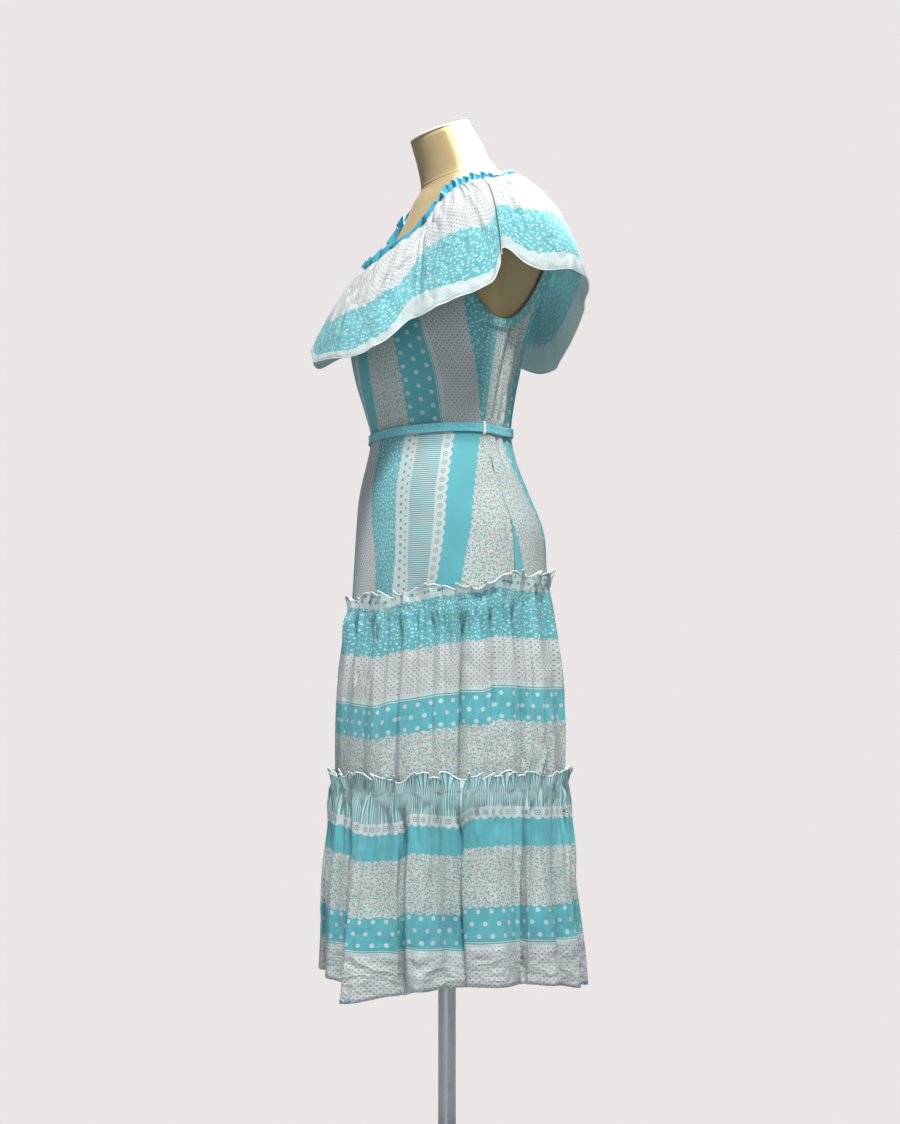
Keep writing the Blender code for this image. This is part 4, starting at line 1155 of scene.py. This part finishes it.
# %% First tier
# Creases where the light catches the folds, and more of the same kind on the far side.
CREASES_1 = [
    (15.0, 0.02, 12.5, 0.42, 1.0, -0.0040), (29.0, 0.05, 22.0, 0.50, 1.3, -0.0034),
    (42.0, 0.00, 37.5, 0.98, 2.0, -0.0046), (57.5, 0.00, 58.5, 0.80, 1.4, -0.0036),
    (50.0, 0.00, 49.0, 0.30, 1.2, -0.0026), (66.0, 0.00, 67.0, 0.34, 1.0, -0.0028),
    (74.5, 0.00, 71.5, 0.98, 1.8, -0.0080), (82.0, 0.02, 84.0, 0.26, 1.2, -0.0034),
    (91.0, 0.00, 89.5, 0.62, 1.1, -0.0062), (98.0, 0.00, 99.0, 0.30, 1.3, -0.0026),
    (104.5, 0.00, 108.0, 0.88, 1.3, -0.0056), (113.0, 0.00, 115.0, 0.36, 1.2, -0.0040),
    (122.5, 0.00, 127.0, 1.00, 2.0, -0.0070), (132.0, 0.00, 136.0, 0.50, 1.6, -0.0040),
    (141.0, 0.02, 146.0, 0.95, 1.7, -0.0090), (152.0, 0.00, 155.0, 0.60, 1.4, -0.0055),
    (126.0, 0.72, 112.0, 0.99, 1.2, 0.0018), (80.0, 0.62, 90.0, 0.40, 1.4, 0.0010),
]
CREASES_2 = [
    (8.0, 0.0, 9.0, 0.34, 1.4, -0.0034), (16.5, 0.02, 18.5, 1.0, 1.7, -0.0062),
    (24.0, 0.0, 23.0, 0.30, 1.1, -0.0030), (33.0, 0.0, 33.0, 0.42, 1.3, -0.0034),
    (46.0, 0.0, 46.5, 1.0, 1.7, -0.0090), (53.0, 0.0, 54.0, 0.30, 1.1, -0.0030),
    (62.5, 0.0, 60.5, 0.70, 1.2, -0.0060), (72.0, 0.0, 75.0, 0.96, 1.8, -0.0074),
    (81.0, 0.0, 81.5, 0.24, 1.1, -0.0026), (89.0, 0.0, 89.5, 0.24, 1.0, -0.0034),
    (105.0, 0.02, 103.5, 1.0, 1.1, -0.0100), (111.0, 0.0, 112.0, 0.30, 1.1, -0.0028),
    (118.0, 0.0, 119.0, 0.22, 1.2, -0.0030), (125.0, 0.0, 125.0, 0.9, 2.0, -0.0050),
    (98.0, 0.25, 95.0, 0.44, 0.9, 0.0012), (135.0, 0.05, 138.0, 0.9, 1.4, -0.0060),
]


def far_side(seed, first, last, step, deepest):
    """Creases on the side that the photograph doesn't show, uneven but like the others."""
    rng = np.random.default_rng(seed)
    rows = []
    deg = first
    while deg < last:
        low = float(rng.uniform(0.3, 1.0))
        push = -float(rng.uniform(0.35, 1.0)) * deepest
        rows.append((deg, 0.0, deg + float(rng.uniform(-3, 3)), low, float(rng.uniform(1.0, 2.0)), push))
        deg += step * float(rng.uniform(0.6, 1.5))
    return rows


LAPS_1 = [
    (73.2, 0.05, 70.2, 1.3, 1.9, 3.4), (90.0, 0.05, 88.5, 0.7, 1.3, 1.8),
    (124.0, 0.1, 128.5, 1.3, 1.9, 2.8), (196.0, 0.1, 199.0, 1.3, 2.0, 3.0),
    (262.0, 0.1, 259.0, 1.3, 2.0, 3.2), (318.0, 0.1, 316.0, 1.3, 2.0, 2.8)]
LAPS_2 = [
    (44.2, 0.1, 43.6, 1.3, 2.3, 5.0), (19.5, 0.2, 20.5, 1.3, 2.0, 3.6),
    (73.6, 0.1, 76.4, 1.3, 2.5, 5.6), (106.3, 0.1, 104.9, 1.3, 1.5, 2.6),
    (152.0, 0.2, 153.0, 1.3, 2.0, 3.4), (196.0, 0.2, 197.0, 1.3, 2.0, 3.4),
    (256.0, 0.2, 255.0, 1.3, 2.0, 3.4), (299.0, 0.2, 298.0, 1.3, 2.0, 3.4),
    (342.0, 0.2, 342.0, 1.3, 2.0, 3.0)]
CREASES_1 += far_side(3, 158.0, 362.0, 10.5, 0.0070)
CREASES_2 += far_side(8, 138.0, 356.0, 10.0, 0.0085)


def tier(deg, run, shape, waves, drift, top, bottom, fold, table, over, flop):
    """Right side of a gathered tier: run -1 is the frill's top, 0 the stitching, 1 the lower edge."""
    up = np.clip(-run, 0.0, 1.0)
    down = np.clip(run, 0.0, 1.0)
    wave = gather(deg, waves, drift)
    fine = gather(deg, 2 * waves + 9, 2.3)
    uneven = round_noise(deg, 3 * waves, waves)
    frill = up * (0.0022 + flop) + wave * (0.0015 + 0.0026 * up) + up * (0.0024 * fine + 0.0016 * uneven)
    frill_level = top + up * HEAD_TALL * (0.94 + 0.26 * uneven + 0.16 * fine) - up**2 * flop * 0.9
    fall_level = top + (bottom - top) * down
    lean = deg + 5.0 * down * round_noise(deg, 15, waves + 1)
    settle = ease(down / 0.03)
    small = (0.0036 * puckers(lean, 8 * waves, waves + 2) * np.exp(-down * 6.0)
             + 0.0052 * puckers(lean, 4 * waves, waves + 3) * ease(down / 0.06) * np.exp(-down * 3.0)
             + 0.0034 * puckers(lean, 2 * waves, waves + 4) * ease(down / 0.2) * np.exp(-down * 1.0))
    detail = 1.6 * creases(table, deg, down)
    detail = np.where(detail > 0.0, detail * np.clip((1.0 - down) / 0.12, 0.0, 1.0), detail)
    puff = 0.002 * np.exp(-((down - 0.07) / 0.07)**2)
    fall = puff + wave * 0.0030 * np.exp(-down * 3.3) + small + fold + detail
    push = np.where(run <= 0.0, frill, wave * 0.0015 * (1.0 - settle) + fall * settle)
    push = np.maximum(push, -0.0018 - 0.04 * ease((down - 0.03) / 0.25))
    curl = deg + up * 3.4 * gather(deg + 90.0 / waves, waves, drift) * wave
    curl = curl + laps(over, deg, down)
    return skirt(shape, curl, np.where(run <= 0.0, frill_level, fall_level), push)


def tier_1(deg, run):
    fold = round_table(FOLDS_1, deg)[..., 1] * np.minimum(1.0, np.clip(run, 0, 1) * 3.0)
    flop = 0.007 * bell(signed(deg - 84.0), 12.0)
    return tier(deg, run, TIER_1, WAVES_1, 1.1, head_1(deg), head_2(deg) - LAP, fold, CREASES_1, LAPS_1, flop)


def tier_2(deg, run):
    _, push, hem = np.moveaxis(round_table(FLUTES, deg), -1, 0)
    fold = push * np.clip(run, 0, 1)**1.05
    return tier(deg, run, TIER_2, WAVES_2, 1.4, head_2(deg), hem, fold, CREASES_2, LAPS_2, 0.0)


# Level of the edge between two strips round each tier. Columns: angle, level.
EDGE_1 = np.array([
    (0.0, 0.7370), (28.0, 0.7310), (43.0, 0.7400), (68.0, 0.7490), (74.0, 0.7530), (83.0, 0.7530),
    (92.0, 0.7600), (120.0, 0.7570), (180.0, 0.7620), (240.0, 0.7560), (300.0, 0.7450)])
EDGE_2 = np.array([
    (0.0, 0.4965), (31.0, 0.4862), (42.0, 0.4900), (52.0, 0.5030), (72.0, 0.5000), (78.0, 0.5120),
    (89.0, 0.5143), (128.0, 0.5098), (180.0, 0.5060), (240.0, 0.5100), (300.0, 0.5000)])


def tier_piece(name, surface, cols, rows, edge, start, mean, mat, frill_print, least):
    deg = np.linspace(0.0, 360.0, cols, endpoint=False)[None, :]
    run = np.concatenate((-np.linspace(1.0, 0.0, 9), np.linspace(0.0, 0.30, rows // 2)[1:],
                          np.linspace(0.30, 1.0, rows - rows // 2)[1:]))[:, None]
    points = surface(deg, run)
    length = ring_length(points[50])
    level = np.concatenate((points[..., 2], points[:, :1, 2]), 1)
    line = round_table(edge, np.append(deg, 360.0))[:, 1][None, :]
    level = np.where(run < 0.0, level[8:9] + (level - level[8:9]) * frill_print, level)
    place = np.maximum(start + (line - level) * mean(np.append(deg, 360.0)[None, :]), least)
    cloth = pairs(0.92 * length[None, :], place)
    obj = cloth_grid(name + "_cloth", points, True, cloth, pairs(place * 0, place),
                     [mat, COTTON_BACK], CLOTH)
    wear(obj, "printed_cotton", name)
    wide = np.linspace(0.0, 360.0, LONG)
    lip = surface(wide, np.full(LONG, -1.0))
    wear(tube(name + "_frill_edge", lip[:-1], 0.00095, True, EDGE, 5), "printed_cotton")
    for k, at in enumerate((0.004, 0.022)):
        sew(f"{name}_gather_stitches_{k + 1}", surface, wide, np.full(LONG, at), 0.0046, 0.62, 0.00028)
    return obj


# The first tier's print runs the other way up, so its places fall as the levels do.
first_tier = tier_piece("tier_1", tier_1, 730, 57, EDGE_1, 0.06, lambda deg: -1.0, FULL_COTTON, 1.0, -1.0)

# %% Second tier and its hem
second_tier = tier_piece("tier_2", tier_2, 730, 57, EDGE_2, 0.205,
                         lambda deg: 0.955 + 0.060 * bell(signed(deg - 27.0), 20.0), HEM_COTTON, 0.15, 0.1535)
sew("hem_stitches", tier_2, np.linspace(0.0, 360.0, LONG), np.full(LONG, 0.962), 0.0050, 0.6, 0.00024)

# %% [markdown]
# ## Collar flounce and neck frill
# The flounce hangs from the neckline in two halves, with a rolled white edge.

# %% Flounce
# Share of the flounce's drop at which the second and third strip start. Columns: place, shares.
FLOUNCE_BANDS = np.array([(0.0, 0.62, 0.95), (1.7, 0.69, 0.965), (2.6, 0.67, 0.956), (3.3, 0.65, 0.950),
                          (3.9, 0.52, 0.86), (4.8, 0.55, 0.880), (5.6, 0.575, 0.91), (6.4, 0.61, 0.935),
                          (7.5, 0.69, 0.960), (9.0, 0.66, 0.93), (12.0, 0.58, 0.90), (16.0, 0.60, 0.92),
                          (20.0, 0.62, 0.93), (24.0, 0.62, 0.95)])
FLOUNCE_HEM = 0.982      # share of the drop where the hem's stitches run


def flounce_cloth(place, run):
    place, run = np.broadcast_arrays(np.asarray(place, float), np.asarray(run, float))
    a = place * 2.0 * np.pi / len(FLOUNCE)
    turn = np.degrees(a)
    gathers = (0.0016 * puckers(turn, 190, 5) * np.exp(-run * 9.0)
               + 0.0026 * puckers(turn + 8 * run, 92, 6) * ease(run / 0.08) * np.exp(-run * 3.0))
    soft = (0.0026 * round_noise(turn + 10 * run, 46, 7)
            + 0.0016 * puckers(turn - 14 * run, 64, 12)) * np.sin(np.pi * run)
    ripple = 0.0022 * round_noise(turn, 70, 9) * run**4
    step = np.minimum(run * 3.0, 1.0)
    fold = step * (-0.0050 * bell(place - 3.72, 0.13) + 0.0030 * bell(place - 4.02, 0.16)
                   - 0.0022 * bell(place - 8.50, 0.22) + 0.0018 * bell(place - 8.10, 0.20)
                   - 0.0022 * bell(place - 2.2 - 0.5 * run, 0.10) - 0.0020 * bell(place - 6.3, 0.16))
    push = gathers + soft + ripple + fold
    return flounce(place, run) + normal_of(flounce, place, run, 0.04, 0.01) * push[..., None]


first, last = FLOUNCE_SPLIT
round_end = first + len(FLOUNCE)
for name, begin, end, cols in (
        ("flounce_front", last + FLOUNCE_SEAM, round_end - FLOUNCE_SEAM, 330),
        ("flounce_back", first + FLOUNCE_SEAM, last - FLOUNCE_SEAM, 230)):
    place = np.concatenate(([begin], np.linspace(begin + 0.006, end - 0.006, cols - 2), [end]))[None, :]
    run = np.concatenate((np.linspace(0.0, 0.25, 20), np.linspace(0.25, 1.0, 44)[1:]))[:, None]
    points = flounce_cloth(place, run)
    arc = np.concatenate((np.zeros((len(run), 1)),
                          np.cumsum(np.linalg.norm(np.diff(points, axis=1), axis=2), 1)), 1)
    length = np.repeat(0.85 * arc[36:37], len(run), 0)
    down = np.linalg.norm(np.diff(points, axis=0), axis=2)
    drop = np.concatenate((np.zeros((1, cols)), np.cumsum(down, 0)))
    ring = place % len(FLOUNCE)
    edge_1, edge_2 = (np.interp(ring, FLOUNCE_BANDS[:, 0], FLOUNCE_BANDS[:, k]) for k in (1, 2))
    strip = (0.002 + 0.058 * np.clip(run / edge_1, 0, 1)
             + 0.070 * np.clip((run - edge_1) / (edge_2 - edge_1), 0, 1)
             + 0.005 * np.clip((run - edge_2) / (1 - edge_2), 0, 1))
    obj = cloth_grid(name + "_cloth", points, False, pairs(length, drop - drop[-1:]), pairs(strip * 0, strip),
                     [DRAPED_COTTON, COTTON_BACK], CLOTH, 0.0)
    wear(obj, "printed_cotton", name)
    fine = np.linspace(begin, end, 900)
    rim = flounce_cloth(fine, 1.0)
    wear(tube(name + "_rolled_edge", rim, 0.00085, False, EDGE, 6), "printed_cotton")
    line = flounce_cloth(fine, FLOUNCE_HEM)
    out = normal_of(flounce, fine, FLOUNCE_HEM, 0.04, 0.01)
    out = np.where(out[:, 2:] < 0.0, -out, out)
    wear(stitches(name + "_hem_stitches", line + out * 0.0005, out, 0.0034, 0.6, 0.0002), "printed_cotton")


# %% Neck frill
def frill(deg, run):
    """Middle of the neck frill: run 0 is the seam, 1 the wavy free edge."""
    deg, run = np.broadcast_arrays(np.asarray(deg, float), np.asarray(run, float))
    wave = gather(deg, WAVES_NECK, 1.0)
    small = gather(deg, 2 * WAVES_NECK + 5, 2.0)
    lean = 0.62 + 0.28 * np.cos(np.radians(deg))
    tall = FRILL_TALL * run * (1.25 + 0.30 * small + 0.25 * round_noise(deg, 61, 2))
    tall = tall * (1.0 - 0.62 * ease((np.abs(signed(deg)) - 80.0) / 40.0))
    up = 0.0011 + tall * lean
    out = 0.0013 + tall * np.sqrt(1.0 - lean**2)
    point = neck_point(deg, up, out)
    side = unit(neck_point(deg, up + 0.004, out - 0.003) - point)
    return point + side * (wave * (0.0002 + 0.0036 * run) + small * 0.0050 * run)[..., None]


deg = np.linspace(0.0, 360.0, 620, endpoint=False)[None, :]
run = np.linspace(0.0, 1.0, 11)[:, None]
points = frill(deg, run)
length = ring_length(points[6])[None, :]
obj = cloth_grid("neck_frill_cloth", points, True, pairs(length, run * 0.012),
                 pairs(length * 0, 0.222 + run * 0.016), [FRILL], 0.0006, 0.0)
wear(obj, "trim_cotton", "neck_frill")
wide = np.linspace(0.0, 360.0, 1300)[:-1]
wear(tube("neck_frill_edge", frill(wide, 1.0), 0.00055, True, FRILL, 5), "trim_cotton")

# %% [markdown]
# ## Belt and its loops
# A narrow folded strip with stitching along both edges passes through a white loop at each side.

# %% Belt
def waist_out(deg, level):
    lower = skirt(YOKE, deg, level, np.zeros_like(level))
    return np.where((level >= WAIST)[..., None], bodice(deg, level), lower)


def belt_mid(deg):
    sag = 0.0045 * bell(np.abs(signed(deg)) - 128.0, 22.0)
    return 1.0585 - 0.0040 * np.cos(np.radians(deg)) - sag


def belt_point(deg, up, out):
    deg, up, out = np.broadcast_arrays(np.asarray(deg, float), np.asarray(up, float), np.asarray(out, float))
    level = belt_mid(deg)
    trio = np.stack([waist_out(deg, level + k) for k in (-BELT_HALF, 0.0, BELT_HALF)])
    reach = np.hypot(trio[..., 0], trio[..., 1])
    widest = np.take_along_axis(trio, reach.argmax(0)[None, ..., None], 0)[0]
    here = waist_out(deg, level + up * 0.9) * 0.4 + widest * 0.6
    here = np.concatenate((here[..., :2], (level + up)[..., None]), -1)
    return here + radial(deg) * (0.0017 + out)[..., None]


def radial(deg):
    a = np.radians(np.asarray(deg, float))
    return np.stack((np.sin(a), -np.cos(a), np.zeros_like(a)), -1)


# Columns: how high on the belt, as a share of its half width, and how far out.
BELT_SECTION = np.array([(0.90, 0.0001), (0.985, 0.0004), (1.00, 0.0009), (0.985, 0.0014), (0.90, 0.0018),
                         (0.60, 0.0019), (0.20, 0.00175), (-0.20, 0.00175), (-0.60, 0.0019), (-0.90, 0.0018),
                         (-0.985, 0.0014), (-1.00, 0.0009), (-0.985, 0.0004), (-0.90, 0.0001), (0.0, 0.0001),
                         (0.90, 0.0001)])
deg = np.linspace(0.0, 360.0, 360, endpoint=False)[None, :]
points = belt_point(deg, BELT_SECTION[:, :1] * BELT_HALF, BELT_SECTION[:, 1:])
ripple = 0.00018 * np.sin(np.radians(deg) * 47 + 2.0 * np.sin(np.radians(deg) * 9))
points = points + radial(deg) * ripple[..., None]
length = np.linspace(0.0, 0.74, 361)[None, :]
wide = np.linspace(0.0, 0.030, len(BELT_SECTION))[:, None]
# The belt wears the lightened cotton, whose paler colour is partly painted light.
belt = cloth_grid("belt_cloth", points, True, pairs(length, wide), pairs(length * 0, 0.072 + wide),
                  [BELT_COTTON_PAINTED_LIGHT], 0.0)
wear(belt, "trim_cotton", "belt")
ring = np.linspace(0.0, 360.0, 900)
for k, up in enumerate((0.72, -0.72)):
    line = belt_point(ring, up * BELT_HALF, 0.0019)
    wear(stitches(f"belt_stitches_{k + 1}", line, radial(ring), 0.0030, 0.62, 0.0002), "trim_cotton")


# %% Belt loops
def loop_line(side, deg, count):
    """Points over the belt from above it to below it."""
    d = np.array(side * deg)
    tall = BELT_HALF + 0.0014
    level = belt_mid(d)
    spots = [waist_out(d, level + tall + 0.0022) + radial(d) * 0.0014,
             belt_point(d, tall, 0.0) + radial(d) * 0.0026,
             belt_point(d, BELT_HALF, BELT_THICK) + radial(d) * 0.0013,
             belt_point(d, 0.0, BELT_THICK) + radial(d) * 0.0014,
             belt_point(d, -BELT_HALF, BELT_THICK) + radial(d) * 0.0013,
             belt_point(d, -tall, 0.0) + radial(d) * 0.0026,
             waist_out(d, level - tall - 0.0022) + radial(d) * 0.0014]
    spots = np.array(spots)
    at = np.linspace(0.0, len(spots) - 1.0, count)
    return np.stack([np.interp(at, range(len(spots)), spots[:, k]) for k in range(3)], -1)


for side, label in ((1.0, "left"), (-1.0, "right")):
    points = np.array([loop_line(side, SEAM_DEG - 4.8 + 2.4 * k / 6, 25) for k in range(7)])
    for _ in range(2):
        points[:, 1:-1] = (points[:, :-2] + 2 * points[:, 1:-1] + points[:, 2:]) / 4
    crown = 0.0003 * np.sin(np.linspace(0, np.pi, 7))[:, None, None]
    points = points + radial(side * (SEAM_DEG - 3.6)) * crown
    uv = pairs(np.linspace(0, 0.006, 7)[:, None], np.linspace(0, 0.02, 25)[None, :])
    obj = cloth_grid(f"belt_loop_{label}_cloth", points, False, uv, uv, [LOOP], 0.0008)
    wear(obj, "loop_cotton", f"belt_loop_{label}")

# %% [markdown]
# ## Side seams
# Fine pale stitches run down each side seam.

# %% Side seam stitches
for side, label in ((1.0, "left"), (-1.0, "right")):
    run = np.linspace(0.02, ARM_MID - ARM_HALF - 0.01, 260)
    deg = side * (seam_deg(run) - 0.55)
    sew(f"bodice_seam_stitches_{label}", panel, deg, run, 0.0032, 0.92, 0.00075, 0.5, EDGE)
    share = np.linspace(0.05, 0.90, 260)
    deg = np.full(260, side * (SEAM_DEG - 0.6))
    line, _ = yoke_cloth(deg, share)
    wear(stitches(f"yoke_seam_stitches_{label}", line, radial(deg), 0.0034, 0.6, 0.00022), "printed_cotton")

# %% [markdown]
# ## Floor
# A pale floor that fades into the backdrop.

# %% Floor
turn = np.linspace(0.0, 2.0 * np.pi, 96, endpoint=False)
rings = [np.stack((np.cos(turn) * r, np.sin(turn) * r, np.zeros(96)), -1)
         for r in (0.001, 0.4, 0.8, 1.6, 4.0, 14.0)]
uv = np.zeros((6, 97, 2))
floor = cloth_grid("floor", np.array(rings), True, uv, uv, [], 0.0)
ground, net, shader = new_material("floor_paper", 0.9, 0.0)
shader.inputs["Base Color"].default_value = linear(170, 178, 178)
glow = net.node("ShaderNodeEmission")
glow.inputs["Color"].default_value = BACKDROP
spot = net.split(net.node("ShaderNodeTexCoord").outputs["Object"])
far = net.limited(net.over(net.minus(net.length(spot[0], spot[1]), 0.17), 0.07))
faded = net.times(far, net.node("ShaderNodeLightPath").outputs["Is Camera Ray"])
paper = net.blend(faded, shader.outputs[0], glow.outputs[0])
back_face = net.node("ShaderNodeNewGeometry").outputs["Backfacing"]
clear = net.node("ShaderNodeBsdfTransparent").outputs[0]
net.put(ground.node_tree.nodes["Material Output"].inputs["Surface"], net.blend(back_face, clear, paper))
floor.data.materials.append(ground)
